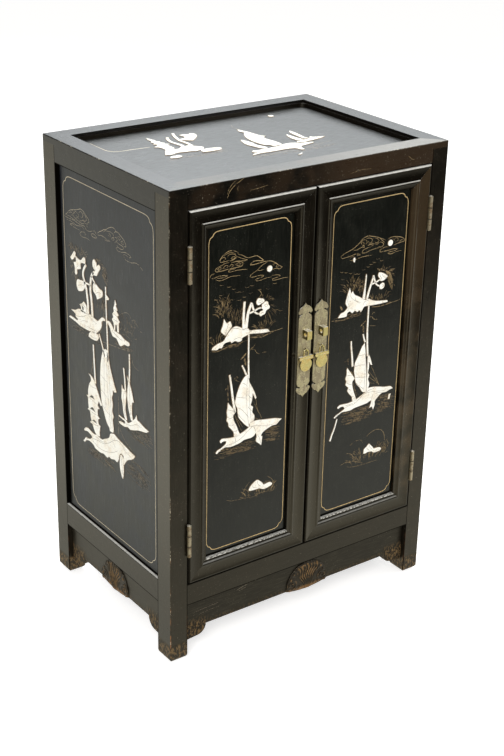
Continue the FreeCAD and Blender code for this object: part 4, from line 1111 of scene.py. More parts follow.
# %% Right door
right_door_stone = [
    circle(149.5, 615, 5.0),
    [(77.5, 604), (80, 604.5), (81, 600), (79, 596.5), (76.5, 600)],
    [(98.8, 532), (104.3, 532), (104.8, 551), (105.6, 570), (104.5, 573.5), (103.4, 570), (101.6, 551)],
    slip(4.2, [(107.9, 531), (111.6, 544.3), (114.4, 552.5), (118.1, 563.4), (119.6, 568)]),
    slip(3.2, [(119.5, 566.5), (121.8, 559.7), (125.5, 552.4), (130.1, 549), (132, 548.6)]),
    slip(2.8, [(115.6, 554), (122.7, 555.2), (128.3, 557), (132.6, 558.6)]),
    [(128.3, 567.9), (130.1, 570.6), (134.8, 569.7), (139.4, 567.7), (144, 564.8), (148.2, 561),
     (144.9, 558.8), (142.2, 556.4), (136.6, 555.3), (132.8, 556.7), (132.9, 559.7), (129.4, 563.3)],
    [(132.2, 549), (134.8, 551.3), (138.5, 552.4), (141.7, 550.7), (142.6, 546.8), (141.2, 543.5),
     (136.6, 541.8), (132.9, 543.7)],
    [(66, 537), (70, 550), (73, 557), (76, 547), (79, 551), (83, 544), (90, 540), (98, 535), (104, 531),
     (112, 531), (120, 527), (130, 524), (150, 521), (151, 518), (135, 518), (118, 519), (104, 520),
     (100, 515), (97, 512), (94, 516), (90, 514), (85, 517), (80, 514), (75, 518), (70, 516), (69, 511),
     (60, 511), (52, 512), (57, 518), (64, 520), (70, 525), (66, 532)],
    slip(3.6, [(116.5, 434), (114.2, 455), (112.8, 480), (112.8, 521)]),
    slip(3.0, [(109.5, 459), (106.5, 467), (104.5, 474)]),
    slip(3.6, [(86.5, 423), (84.5, 440), (82.2, 455), (81, 467)]),
    [(109, 458), (104, 453), (100, 445), (95, 435), (91, 428), (90, 415), (92, 405), (94, 395), (98, 388),
     (103, 383), (108, 375), (113, 372), (117, 372), (116, 400), (113, 430)],
    [(116, 440), (122, 430), (127, 416), (123, 418), (120, 424), (120.5, 412), (119, 405), (122, 400),
     (120, 393), (123, 385), (121, 377), (117.5, 374), (117, 400)],
    [(76, 423), (82, 415), (88, 407), (92, 401), (88, 397), (88, 390), (91, 380), (95, 370), (98, 362),
     (90, 362), (88, 370), (83, 376), (78, 383), (80, 388), (74, 394), (75, 400), (73, 405), (75, 412),
     (75, 420)],
    [(174, 364), (168, 369), (155, 371), (145, 374), (130, 377), (120, 377), (117, 372), (108, 368),
     (98, 364), (90, 362), (80, 361), (65, 362), (59, 359), (61, 356), (66, 358), (72, 357), (74, 353),
     (68, 350), (60, 347), (53, 343), (55, 341), (62, 345), (70, 348), (85, 347), (95, 349), (108, 350),
     (120, 351), (128, 354), (129, 350), (126, 341), (131, 342), (134, 336), (137, 343), (137, 350),
     (140, 354), (150, 361), (160, 361), (167, 363)],
    [(166, 355.5), (170, 355.5), (168, 346.5), (164.5, 347)],
    [(119, 261), (120, 268), (125, 272), (130, 276), (134, 272), (138, 268), (141, 264), (147, 264),
     (153, 263), (157, 260), (155, 257), (146, 256), (140, 257), (136, 260), (128, 261), (122, 260)],
    slip(3.0, [(47.5, 303), (51, 313), (56, 325), (60, 339)]),
]
right_door_cut = inked([
    [(111.6, 455), (111.8, 430), (112.6, 400), (112.6, 377)], [(116, 434), (116.8, 410), (116.8, 377)],
    [(89, 421), (100, 422), (112, 420)],
    [(92, 403), (100, 401), (112, 399)], [(95, 393), (103, 385), (112, 378)],
    [(97, 439), (104, 438), (111, 439)],
    [(75, 411), (81, 409), (87, 407)], [(75, 398), (81, 394), (88, 391)], [(80, 386), (86, 382)],
    [(88, 371), (93, 370)],
    [(57, 343), (70, 353), (82, 356), (94, 357), (104, 363), (114, 369), (128, 369), (142, 367),
     (158, 364)], [(74, 358), (84, 358), (95, 359)],
    [(131, 364), (130, 356), (133, 344)], [(136, 364), (144, 364), (152, 362)],
    [(117, 371), (124, 373), (134, 374)],
    [(73, 550), (76, 541), (84, 534), (97, 528)], [(70, 545), (70, 534), (74, 526)],
    [(84, 541), (86, 533), (94, 527)], [(100, 522), (104, 528), (112, 529)],
    [(124, 271), (128, 266), (134, 262)], [(130, 275), (133, 268), (139, 262)],
    [(131, 567), (134, 562), (137, 557)], [(135, 568), (139, 563), (143, 559)],
    [(136, 549), (139, 549.5), (140, 546.5), (137, 545)]])
right_door_gold = border(36.2, 181.2, 177.0, 691.0) + [
    (0.95, 0.85, [(53, 610), (58, 613.5), (66, 616), (74, 618), (82, 622), (88, 626), (92, 630), (98, 633),
     (105, 634), (112, 632), (120, 630), (127, 627), (134, 624), (140, 621)]),
    (0.9, 0.8, [(53, 610), (56, 607), (64, 607.5), (72, 608), (80, 609.5), (88, 608), (91, 606),
     (84, 606.5)]),
    (0.85, 0.75, [(76, 617), (82, 615.5), (88, 617), (94, 618.5), (98, 616.5), (97, 620), (93, 622),
     (91, 626), (95, 629.5), (101, 628), (103, 624), (100, 621.5)]),
    (0.8, 0.75, [(100, 631), (108, 630), (113, 627), (112, 623), (107, 622), (105, 626)]),
    (0.8, 0.75, [(114, 629), (121, 627.5), (127, 623), (123, 620), (118, 622)]),
    (0.8, 0.7, [(93, 626), (97, 624), (96, 620)]),
    (0.8, 0.7, [(106, 620), (112, 621), (118, 619), (124, 617.5)]),
    (0.8, 0.7, [(128, 626), (134, 621), (139, 617)]),
    (0.85, 0.75, [(112, 617), (116, 617.5), (110, 619.5), (104, 618.5)]),
    (0.85, 0.75, [(112, 616), (104, 615), (97, 613.5), (94, 611), (95, 608.5), (101, 608), (110, 610),
     (120, 611), (130, 611.5)]),
    (0.85, 0.75, [(122, 617), (128, 620), (134, 618), (137, 614), (132, 611.5), (126, 613)]),
    (0.9, 0.8, [(143, 621), (150, 623.5), (158, 623.5), (166, 622), (173, 619.5), (179, 615), (177, 612.5),
     (170, 612), (162, 611), (156, 610)]),
    (0.8, 0.7, [(158, 620), (163, 621), (166, 617), (162, 615)]),
    (0.8, 0.7, [(166, 613), (172, 615.5), (176, 616)]), (0.8, 0.6, [(152, 622), (158, 618), (160, 613)]),
    (0.85, 0.75, [(146, 609), (140, 610), (133, 608.5), (129, 606), (131, 603.5), (138, 603.5),
     (147, 603.5), (157, 604), (165, 602.5), (160, 600.5), (150, 600.5), (146, 598.5), (152, 596.5),
     (162, 598), (173, 598.5)]),
    (0.8, 0.7, [(70, 604), (75, 606.5), (80, 607)]),
    (0.8, 0.7, [(70, 601.5), (78, 600), (90, 602), (103, 602.5), (114, 601.5)]),
]
right_door_gold += [(0.8, 0.4, [(u, v), (u + 3, v - 1.5), (u + 7, v - 1)]) for u, v in (
    (53, 586), (61, 584), (70, 581), (80, 578), (86, 577), (95, 582), (104, 585), (110, 588), (116, 590),
    (123, 594), (131, 590), (56, 574))]
right_door_gold += [
    (4.2, 0.5, [(56, 531), (58, 527), (60, 523)]), (1.6, 0.6, [(118, 562), (121, 566)]),
    (2.2, 0.3, [(40, 509), (55, 507), (66, 506), (80, 510), (96, 510)]),
    (2.2, 0.32, [(118, 516), (132, 514), (148, 514), (162, 515)]),
    (0.9, 0.45, [(150, 517), (164, 515), (178, 517)]),
    (0.8, 0.6, [(116, 500), (121, 499), (126, 494), (133, 492.5)]),
    (0.8, 0.5, [(121, 503), (124, 506), (127, 504)]), (0.7, 0.45, [(116, 485), (130, 482)]),
    (3.4, 0.36, [(99, 488), (103, 491), (109, 495)]), (5.0, 0.25, [(104, 488), (105, 481), (106, 475)]),
    (2.6, 0.3, [(84, 415), (88, 409), (91, 403)]),
    (1.0, 0.4, [(69, 433), (74, 436), (79, 438)]), (3.0, 0.22, [(77, 436), (78, 428)]),
    (0.7, 0.6, [(126, 414), (134, 398), (145, 375)]), (0.6, 0.55, [(121, 406), (132, 393), (143, 378)]),
    (0.6, 0.5, [(122, 396), (132, 388), (142, 380)]), (0.6, 0.45, [(123, 386), (134, 382)]),
    (0.6, 0.5, [(90, 396), (94, 380), (99, 368)]), (0.6, 0.45, [(91, 390), (96, 378), (102, 370)]),
    (0.9, 0.5, [(124, 290), (135, 296), (147, 297), (158, 291), (163, 280), (164, 272)]),
    (0.8, 0.45, [(168, 273), (172, 265), (171, 258)]),
    (0.8, 0.4, [(90, 283), (100, 288), (112, 287), (118, 280)]),
    (0.8, 0.4, [(70, 252), (85, 255), (100, 252), (120, 243)]),
    (0.8, 0.4, [(85, 246), (95, 243), (110, 241), (150, 240)]),
]
right_door_gold += (
    shadow_lines(right_door_stone)
    + ripples(13, 68, 137, 325, 347, 110, tone=0.38, tilt=0.14)
    + ripples(14, 136, 180, 329, 358, 76, tone=0.36, tilt=0.14)
    + tufts(15, 64, 92, 546, 566, 74, size=9.0, tone=0.36, width=0.7)
    + tufts(16, 118, 148, 521, 530, 40, size=9.0, tone=0.42)
    + tufts(17, 96, 166, 244, 262, 84, size=14.0, tone=0.46)
    + ripples(18, 42, 100, 506, 514, 24, tone=0.32)
    + fringe(19, 138, 560, 16, -40, 130, 34, tone=0.36, size=10.0)
    + tufts(20, 92, 102, 538, 556, 24, size=12.0, tone=0.3, spread=0.3))
for k in range(11):
    arc = [(126 + 1.3 * k, 575 - 0.3 * k), (137 + 1.5 * k, 575.5 - 0.9 * k), (146 + 1.3 * k, 566 - 1.5 * k),
           (149.5 + k, 552 - 1.8 * k)]
    right_door_gold.append((0.7, 0.35 + 0.02 * k, arc))
picture("right_door", doors_face, "right_door", right_door_stone, right_door_cut, right_door_gold, gold)

# %% [markdown]
# ## The side pictures
# The side has the largest picture: two junks, a tall island with a pavilion and trees, and a
# bank of clouds. The other side is taken to have the same one, seen the same way round. The
# foresail and the pavilion are pierced; a slip of black ground stands for each opening.

# %% Sides
side_stone = [
    [(-130, 578), (-124, 584), (-118, 591), (-113, 589), (-116, 582), (-122, 576), (-127, 574.5)],
    [(-115, 585), (-106, 582), (-98, 582), (-92, 587), (-88, 590), (-84, 588), (-84, 580), (-90, 579),
     (-96, 578), (-99, 574), (-98, 568), (-105, 565), (-110, 563), (-110, 557), (-114, 553), (-117, 556),
     (-117, 565), (-120, 572), (-112, 576)],
    slip(5.6, [(-79, 499), (-79.5, 520), (-83, 540), (-88, 551), (-92, 560), (-89, 570), (-82, 579)]),
    slip(6.0, [(-66, 499), (-67, 520), (-70, 540), (-69, 555), (-66, 566), (-59, 574)]),
    slip(3.4, [(-90, 548), (-78, 549.5), (-67, 549)]), slip(3.6, [(-68, 566), (-61, 561), (-54, 556)]),
    [(-61, 592), (-56, 596), (-50, 592), (-49, 586), (-44, 591), (-39, 590), (-39, 585), (-45, 578),
     (-50, 571), (-57, 570), (-63, 568), (-62, 574), (-55, 578), (-61, 583)],
    [(-62, 553), (-57, 558), (-50, 556), (-42, 553), (-34, 552), (-33, 546), (-36, 541), (-43, 537),
     (-50, 533), (-54, 539), (-61, 543)],
    [(-113, 540), (-110, 547), (-100, 549), (-88, 550), (-86, 545), (-88, 539), (-94, 533), (-102, 530),
     (-108, 529), (-112, 534)],
    [(-106, 507), (-98, 511), (-92, 516), (-86, 513), (-83, 508), (-84, 498), (-102, 497), (-101, 504)],
    [(-133, 490), (-120, 493), (-110, 498), (-100, 500), (-85, 499), (-78, 500), (-70, 501), (-62, 499),
     (-50, 498), (-45, 502), (-37, 508), (-30, 509), (-27, 505), (-33, 504), (-38, 500), (-38, 494),
     (-42, 487), (-47, 482), (-52, 478), (-60, 474), (-78, 472), (-90, 471), (-105, 471), (-120, 473),
     (-135, 474), (-141, 475), (-136, 478), (-125, 478), (-115, 477), (-112, 480), (-119, 482), (-119, 486),
     (-125, 488)],
    [(-80, 462), (-76, 470), (-65, 475), (-50, 475), (-48, 470), (-55, 463), (-68, 461)],
    [(-22, 508), (-15, 509), (-8, 506), (-2, 500), (5, 499), (18, 498), (28, 495), (42, 494), (43, 490),
     (38, 487), (28, 486), (22, 482), (15, 480), (10, 484), (5, 488), (-5, 488), (-10, 493), (-14, 500),
     (-20, 504)],
    slip(3.6, [(-21.5, 440), (-22, 480), (-23.5, 520), (-24, 562)]),
    [(-23, 550), (-15, 546), (-16, 543), (-23, 541)],
    slip(3.4, [(-31, 445), (-38, 461), (-47, 478)]),
    [(3, 550), (7, 543), (5, 541), (10, 535), (7, 533), (13, 528), (9, 524), (16, 518), (13, 515),
     (13, 500), (8, 500), (7, 510), (3, 510), (2, 500), (-1, 500), (-2, 510), (-7, 516), (-3, 520),
     (-5, 525), (-1, 530), (-2, 535), (1, 541)],
    slip(4.2, [(-62.5, 388), (-64, 415), (-66, 453)]),
    [(-83, 398), (-77, 393), (-76, 388), (-82, 380), (-86, 368), (-87, 359), (-92, 357), (-87, 354),
     (-87, 345), (-86, 337), (-90, 333), (-82, 332), (-80, 322), (-78, 317), (-83, 313), (-75, 311),
     (-70, 304), (-63, 298), (-52, 299), (-53, 305), (-51, 315), (-50, 318), (-56, 320), (-56, 328),
     (-50, 331), (-57, 334), (-57, 345), (-51, 348), (-57, 352), (-53, 361), (-47, 355), (-43, 358),
     (-50, 368), (-58, 380), (-66, 391), (-73, 396)],
    [(-35, 455), (-40, 445), (-44, 430), (-46, 415), (-47, 400), (-46, 385), (-45, 370), (-42, 358),
     (-36, 345), (-30, 334), (-22, 327), (-20, 322.5), (-13, 322.5), (-9.5, 325), (-9, 332), (-11, 345),
     (-8, 352), (-12, 360), (-10, 372), (-12, 383), (-9, 390), (-9, 397), (-3, 395), (2, 398), (-4, 408),
     (-10, 420), (-16, 434), (-19, 445), (-22, 455), (-27, 459)],
    [(54, 310), (40, 312), (20, 316), (0, 320), (-8, 322), (-19, 318), (-23, 310), (-30, 305), (-38, 301),
     (-45, 297), (-52, 297), (-62, 298), (-70, 296), (-80, 297), (-90, 299), (-99, 296), (-103, 291),
     (-100, 290), (-92, 292), (-80, 290), (-77, 288), (-82, 283), (-90, 280), (-98, 279), (-103, 273),
     (-107, 270), (-102, 269), (-97, 274), (-88, 277), (-75, 276), (-68, 272), (-60, 271), (-50, 271),
     (-42, 273), (-30, 271), (-25, 275), (-18, 274), (-8, 277), (0, 276), (5, 283), (8, 292), (13, 297),
     (20, 295), (19, 288), (21, 280), (26, 287), (33, 294), (45, 300), (52, 306)],
    [(10, 293), (14, 295), (18.5, 290), (20, 275), (19, 262), (17, 254), (14, 256), (9, 268), (8, 280)],
    slip(3.8, [(29, 408), (27.5, 428), (24.5, 447)]), slip(3.8, [(40.5, 430), (42, 450), (42, 476)]),
    [(18, 417), (22, 412), (30, 410), (32, 405), (30, 395), (28, 380), (30, 370), (33, 362), (27, 362),
     (22, 372), (20, 385), (17, 395), (18, 405)],
    [(34, 438), (40, 432), (43, 425), (48, 415), (51, 405), (53, 400), (48, 398), (47, 385), (48, 375),
     (50, 368), (44, 367), (40, 376), (37, 385), (35, 395), (34, 402), (35, 415), (37, 428)],
    [(7, 350), (14, 353), (26, 354), (26, 358), (8, 359.5), (8, 362), (28, 361), (36, 359), (46, 366),
     (56, 375), (60, 382), (62, 375), (68, 374), (80, 371), (95, 369), (88, 364), (76, 361), (64, 358),
     (54, 354), (42, 350), (34, 351), (24, 348), (12, 348)],
]
side_pierced = [
    [(-82, 357), (-77, 362), (-71, 363), (-66, 358), (-72, 358.5)],
    [(-82, 336), (-77, 341), (-71, 342.5), (-64, 336), (-72, 337.5)],
    [(-76, 318), (-70, 322), (-64, 321), (-60, 318), (-68, 318.5)], [(-82, 311), (-76, 313), (-72, 311)],
    [(-98, 507), (-92.5, 507), (-92.5, 501), (-97, 501)],
]
side_cut = inked([
    [(-24, 455), (-25, 430), (-25, 405), (-23, 380), (-20, 350), (-17, 325)],
    [(-20, 440), (-19, 415), (-17, 390), (-15, 360), (-13, 330)],
    [(-32, 450), (-34, 420), (-34, 390), (-30, 360)], [(-46, 410), (-36, 407), (-25, 404)],
    [(-46, 385), (-34, 381), (-22, 376)], [(-42, 360), (-32, 354), (-19, 350)],
    [(-86, 356), (-76, 355), (-60, 353)], [(-86, 334), (-74, 333), (-56, 334)],
    [(-80, 316), (-68, 314), (-53, 317)], [(-82, 380), (-72, 378), (-60, 380)],
    [(-98, 275), (-84, 284), (-62, 289), (-40, 292), (-22, 301), (-8, 311), (6, 315), (30, 309)],
    [(-66, 294), (-46, 293), (-32, 298)],
    [(-76, 282), (-56, 278), (-36, 280), (-12, 288), (4, 298)], [(13, 292), (15, 278), (16, 262)],
    [(-18, 316), (-12, 308), (-4, 300)], [(18, 309), (30, 305), (42, 303)],
    [(-118, 484), (-100, 488), (-84, 496)], [(-104, 479), (-92, 484), (-80, 486)],
    [(-84, 478), (-70, 478), (-56, 480)], [(-80, 499), (-68, 494), (-52, 492)],
    [(-74, 466), (-64, 465), (-54, 468)], [(-8, 497), (6, 493), (24, 490)],
    [(-104, 507), (-94, 509), (-84, 508)], [(-42, 505), (-50, 497)],
    [(-109, 537), (-100, 541), (-90, 543)], [(-56, 540), (-46, 546), (-38, 546)],
    [(-110, 575), (-106, 570), (-112, 566)], [(-56, 588), (-54, 580), (-58, 573)],
    [(14, 355), (28, 355), (44, 358), (60, 366), (78, 367)], [(22, 405), (24, 385), (27, 368)],
    [(41, 425), (42, 400), (43, 375)],
    [(0, 534), (8, 534)], [(-2, 526), (10, 525)], [(-5, 517), (13, 517)]], width=0.9)
side_gold = border(-148.5, 110.6, 139.6, 706.0, width=1.6, step=1.3) + [
    (1.0, 0.8, [(-145, 642), (-138, 646), (-131, 652), (-123, 655.5), (-113, 658), (-104, 661), (-95, 664),
     (-86, 662), (-79, 658), (-72, 654), (-70, 650), (-75, 648)]),
    (0.9, 0.7, [(-133, 648), (-126, 651), (-118, 650), (-115, 654), (-108, 656), (-101, 653), (-104, 649),
     (-110, 650)]),
    (0.9, 0.7, [(-101, 657), (-94, 660.5), (-88, 656), (-91, 651), (-97, 652)]),
    (0.9, 0.7, [(-88, 660), (-81, 657), (-78, 651), (-84, 648), (-90, 650)]),
    (0.9, 0.65, [(-128, 645), (-120, 648), (-112, 645), (-104, 648), (-96, 645), (-88, 648), (-80, 645),
     (-72, 647)]), (0.9, 0.65, [(-124, 653), (-118, 655), (-112, 652)]),
    (0.9, 0.65, [(-140, 643), (-130, 643.5), (-118, 642), (-106, 643.5), (-94, 642), (-84, 643.5),
     (-74, 641)]),
    (0.9, 0.7, [(-148, 640), (-132, 639.5), (-116, 640.5), (-100, 639), (-84, 640), (-80, 636),
     (-72, 635.5), (-66, 637), (-60, 639.5), (-54, 640.5), (-49, 637)]),
    (0.9, 0.65, [(-140, 636), (-125, 636.5), (-110, 634.5), (-100, 636), (-92, 637.5), (-86, 634)]),
    (0.9, 0.6, [(-112, 632.5), (-122, 633.5), (-130, 631), (-115, 629.5), (-100, 629)]),
    (0.9, 0.65, [(-85, 625.5), (-80, 628), (-86, 630), (-95, 628), (-100, 623.5), (-92, 621), (-80, 622.5),
     (-68, 622)]),
    (0.9, 0.7, [(-64, 633), (-60, 635.5), (-53, 634.5), (-48, 632), (-54, 630), (-62, 630.5), (-64, 633)]),
    (1.0, 0.8, [(-43, 637), (-45, 640), (-40, 644), (-33, 647), (-28, 650.5), (-20, 653), (-15, 656),
     (-8, 659.5), (0, 661.5), (6, 659.5), (10, 656)]),
    (1.0, 0.8, [(3, 654), (8, 657.5), (15, 657.5), (22, 654.5), (28, 652), (32, 649.5), (35, 646),
     (36, 642), (30, 641)]),
    (0.9, 0.7, [(-28, 646), (-24, 650), (-16, 651.5), (-8, 652.5), (0, 651), (2, 647), (-3, 644)]),
    (0.8, 0.7, [(-14, 646), (-11, 649), (-7, 647.5), (-9, 644.5), (-14, 646)]),
    (0.8, 0.7, [(-5, 643), (-1, 646), (3, 644), (-1, 641.5), (-5, 643)]),
    (0.8, 0.7, [(13, 650), (17, 653), (21, 650), (18, 647), (13, 650)]),
    (0.8, 0.65, [(22, 646), (26, 648.5), (30, 645), (27, 642.5), (22, 646)]),
    (0.8, 0.65, [(4, 647), (9, 649), (12, 645), (8, 643)]),
    (0.9, 0.7, [(-43, 637), (-35, 639.5), (-25, 639), (-16, 637.5), (-10, 639)]),
    (0.8, 0.6, [(-25, 635.5), (-16, 636), (-8, 638)]),
    (0.9, 0.7, [(4, 640), (10, 642.5), (15, 641), (22, 640.5), (28, 639.5), (29, 636.5), (23, 634.5),
     (15, 635), (10, 637)]),
    (0.9, 0.7, [(18, 634.5), (12, 635), (8, 632), (14, 629), (24, 630.5), (34, 633), (44, 632.5),
     (50, 630.5), (44, 628), (34, 629.5)]),
    (0.9, 0.65, [(34, 630), (28, 627.5), (33, 622.5), (42, 621.5), (52, 622.5), (60, 625), (68, 625.5),
     (76, 622.5), (82, 620)]),
    (0.8, 0.5, [(16, 530), (24, 535), (33, 539), (42, 539), (47, 534)]),
    (0.8, 0.45, [(48, 531), (56, 535), (60, 531), (68, 527)]),
    (0.8, 0.4, [(40, 526), (50, 522), (60, 524)]),
    (0.8, 0.45, [(68, 523), (78, 522)]), (0.8, 0.4, [(30, 507), (42, 511), (54, 508)]),
    (0.8, 0.4, [(52, 504), (64, 506)]), (0.8, 0.35, [(22, 500), (36, 502), (50, 498)]),
    (0.8, 0.6, [(6, 392), (6, 360), (4, 326)]), (0.9, 0.45, [(8, 340), (18, 328), (30, 320), (46, 314)]),
    (0.8, 0.5, [(48, 472), (50, 464), (56, 459), (68, 457)]),
    (1.1, 0.35, [(-140, 470), (-115, 466), (-92, 467)]),
    (1.3, 0.35, [(-46, 466), (-20, 470), (10, 474), (40, 480), (56, 486)]),
    (2.2, 0.28, [(12, 478), (26, 480), (44, 484)]),
    (0.8, 0.5, [(-66, 440), (-72, 415), (-78, 398)]), (0.8, 0.5, [(-24, 545), (-34, 508), (-44, 480)]),
    (2.4, 0.25, [(-70, 430), (-71, 415), (-72, 400)]),
]
side_gold += (
    shadow_lines(side_stone, width=1.9)
    + ripples(23, 10, 106, 338, 364, 76, width=0.55, tone=0.4, tilt=0.12)
    + ripples(24, -98, -4, 254, 272, 64, width=0.55, tone=0.4, tilt=0.1)
    + ripples(25, 24, 100, 264, 300, 80, width=0.55, tone=0.36, tilt=0.14)
    + ripples(26, -144, -20, 458, 470, 46, width=0.6, tone=0.34)
    + ripples(29, -4, 50, 476, 486, 26, tone=0.34)
    + tufts(27, -130, -84, 586, 596, 52, size=8.0, tone=0.4)
    + tufts(28, -30, 34, 498, 508, 30, size=9.0, tone=0.4)
    + fringe(30, -46, 582, 13, -40, 110, 46, tone=0.42, size=12.0)
    + fringe(31, -108, 566, 14, 120, 330, 30, tone=0.34)
    + fringe(32, -46, 546, 15, -110, 20, 26, tone=0.34)
    + tufts(38, 10, 60, 498, 530, 40, size=9.0, tone=0.3))
for side, face in (("left_side", left_face), ("right_side", right_face)):
    picture(side, face, "carcase", side_stone, side_cut, side_gold, sheen_pale_gold, 1.1, side_pierced)

# %% [markdown]
# A few old scratches on the front top rail and the apron show pale through the lacquer.

# %% Scratches
rail_scratches = [
    (0.9, 0.6, [(-131, 761), (-145, 754), (-154, 746), (-158, 737)]),
    (0.8, 0.5, [(-143, 761), (-151, 755), (-157, 747), (-158, 742)]),
    (0.7, 0.45, [(-139, 752), (-141, 748), (-140, 744)]), (0.7, 0.4, [(-120, 742), (-104, 743), (-88, 745)]),
    (0.6, 0.4, [(60, 738), (82, 741), (101, 740)]), (0.7, 0.45, [(172, 750), (180, 743), (186, 741)]),
]
apron_scratches = [
    (0.9, 0.5, [(-124, 84), (-112, 87), (-104, 88)]), (0.8, 0.4, [(-120, 81.5), (-106, 84)]),
    (0.7, 0.4, [(-52, 99), (-46, 98), (-42, 98.5)]), (0.7, 0.3, [(-206, 72), (-186, 73.5), (-160, 74.5)]),
    (0.7, 0.34, [(60, 92), (86, 94), (104, 94)]), (0.6, 0.34, [(-196, 66), (-176, 67), (-158, 67)]),
]
ribbons("rail_scratches", rail_scratches, Face((0, front_y, 0), (1, 0, 0), (0, 0, 1)), gold, "carcase")
ribbons("apron_scratches", apron_scratches, Face((0, apron_y, 0), (1, 0, 0), (0, 0, 1)), sheen_pale_gold, "carcase")

# %% [markdown]
# ## The top's picture
# The top has lost much of its gold, because things were set down on it. Most of its stone is
# left: two boats, an island with a pagoda and two trees, and the moon.

# %% Top
top_stone = [
    circle(138, 131, 5.0),
    [(-27, -48), (-22, -43), (-12, -40), (-18, -34), (-12, -27), (-6, -30), (5, -28), (15, -29), (25, -27),
     (35, -27), (48, -22), (60, -21), (68, -24), (75, -30), (90, -32), (98, -35), (95, -38), (80, -41),
     (68, -44), (63, -50), (60, -62), (55, -60), (52, -50), (44, -47), (35, -46), (5, -46), (-10, -45)],
    [(40, 89), (36, 76), (38, 66), (30, 55), (24, 42), (21, 30), (19, 15), (20, 0), (22, -8), (29, -14),
     (30, -20), (35, -23), (48, -20), (49, -5), (47, 10), (46, 22), (50, 29), (56, 33), (50, 38), (48, 52),
     (46, 66), (43, 78)],
    [(7, 33), (10, 30), (12, 20), (14, 8), (12, 0), (14, -8), (17, -18), (17, -27), (10, -26), (5, -18),
     (2, -5), (0, 5), (2, 18)],
    [(85, 17), (89, 23), (90, 10), (91, -2), (94, -15), (82, -15), (81, 0)],
    [(100, 28), (104, 36), (107, 38), (107, 20), (105, 5), (103, -5), (106, -12), (98, -12), (97, 0),
     (98, 15)],
    [(73, -24), (80, -19), (95, -17), (107, -13), (112, -6), (117, -12), (134, -17), (125, -21), (110, -24),
     (95, -26), (85, -28)],
    [(-138, 20), (-133, 28), (-128, 36), (-124, 42), (-115, 44), (-108, 40), (-100, 41), (-95, 46),
     (-88, 50), (-80, 48), (-74, 42), (-68, 36), (-64, 30), (-68, 22), (-76, 18), (-86, 16), (-92, 19),
     (-104, 20), (-112, 22), (-120, 21), (-126, 18)],
    [(-111, 118), (-108, 108), (-106, 98), (-108, 96), (-103, 89), (-106, 86), (-101, 79), (-105, 76),
     (-98, 70), (-104, 66), (-104, 56), (-106, 44), (-122, 42), (-121, 55), (-123, 62), (-129, 66),
     (-120, 72), (-117, 77), (-121, 80), (-116, 87), (-118, 92), (-114, 98), (-114, 108)],
    slip(6.0, [(-86, 46), (-88, 62), (-90, 78), (-87, 92), (-81, 104)]),
    slip(6.0, [(-75, 44), (-73, 60), (-74, 78), (-70, 95), (-66, 108), (-60, 121)]),
    [(-58, 106), (-50, 107), (-43, 104), (-36, 107), (-32, 101), (-34, 92), (-40, 84), (-48, 76), (-57, 69),
     (-62, 73), (-69, 79), (-69, 86), (-60, 88), (-56, 96)],
    [(-140, 1), (-137, 8), (-130, 10), (-121, 9), (-119, 2), (-128, -1)],
    [(-80, 5), (-78, 15), (-65, 19), (-47, 16), (-43, 10), (-50, 4), (-65, 3)],
    [(33, -80), (40, -77), (45, -74), (43, -78), (36, -82)],
]
top_cut = inked([
    [(42, 78), (42, 55), (40, 30), (40, 0), (40, -20)], [(22, 30), (34, 30), (46, 28)],
    [(20, 8), (32, 8), (46, 10)], [(4, 10), (10, 8)], [(3, -10), (11, -10)],
    [(-20, -45), (0, -40), (30, -38), (60, -34), (85, -36)], [(85, -22), (100, -19), (120, -17)],
    [(-128, 28), (-110, 32), (-90, 34), (-72, 30)], [(-121, 66), (-101, 68)],
    [(-118, 79), (-104, 78)], [(-116, 91), (-106, 90)], [(-62, 84), (-52, 92), (-42, 98)]], width=1.2)
top_gold = shadow_lines(top_stone, width=2.2) + [
    (2.2, 0.95, [(-198, 140), (-198.5, 115), (-198, 92), (-192, 80), (-180, 76), (-155, 75), (-132, 73)]),
    (1.0, 0.35, [(-30, -52), (0, -54), (40, -56)]), (1.0, 0.35, [(70, -52), (100, -46), (130, -40)]),
    (1.0, 0.35, [(45, 90), (44, 105), (50, 118)]),
]
top_gold += (
    ripples(33, -30, 130, -66, -50, 30, tone=0.26, width=0.9)
    + ripples(34, -150, -40, -8, 4, 20, tone=0.26, width=0.9))
picture("top", top_face, "carcase", top_stone, top_cut, top_gold, sheen_pale_gold, 1.1)

# %% [markdown]
# ## Carved bosses
# In the middle of each apron hangs a boss, carved in low relief with a palmette between two
# scrolls. The carver marks an arch above and the apron's own edge below, and cuts the ground
# away. Here the relief is a sheet of points fitted between the same two arcs: its columns run
# straight up, and each point's height comes from formulas. The rim of the sheet lies under
# the wood, so nothing shows an open edge.

# %% Carving
arch_half, arch_top, arch_foot, arch_dip = 41.0, 91.0, 45.0, 40.0
boss_right, boss_out, boss_sunk, boss_deep = 16.0, 1.2, 0.5, 2.2
columns, rows = 150, 90


def arc_heights(u, middle, ends, half, upward):
    """A circle through (-half, ends), (0, middle) and (half, ends): its radius is (half^2 +
    rise^2) / 2 rise, and at u it stands the root of radius^2 - u^2 from its centre."""
    rise = abs(middle - ends)
    radius = (half ** 2 + rise ** 2) / (2 * rise)
    return middle + upward * (np.sqrt(radius ** 2 - u ** 2) - radius)


def swell(angle):
    """A cosine that runs from 0 to 1."""
    return 0.5 + 0.5 * np.cos(angle)


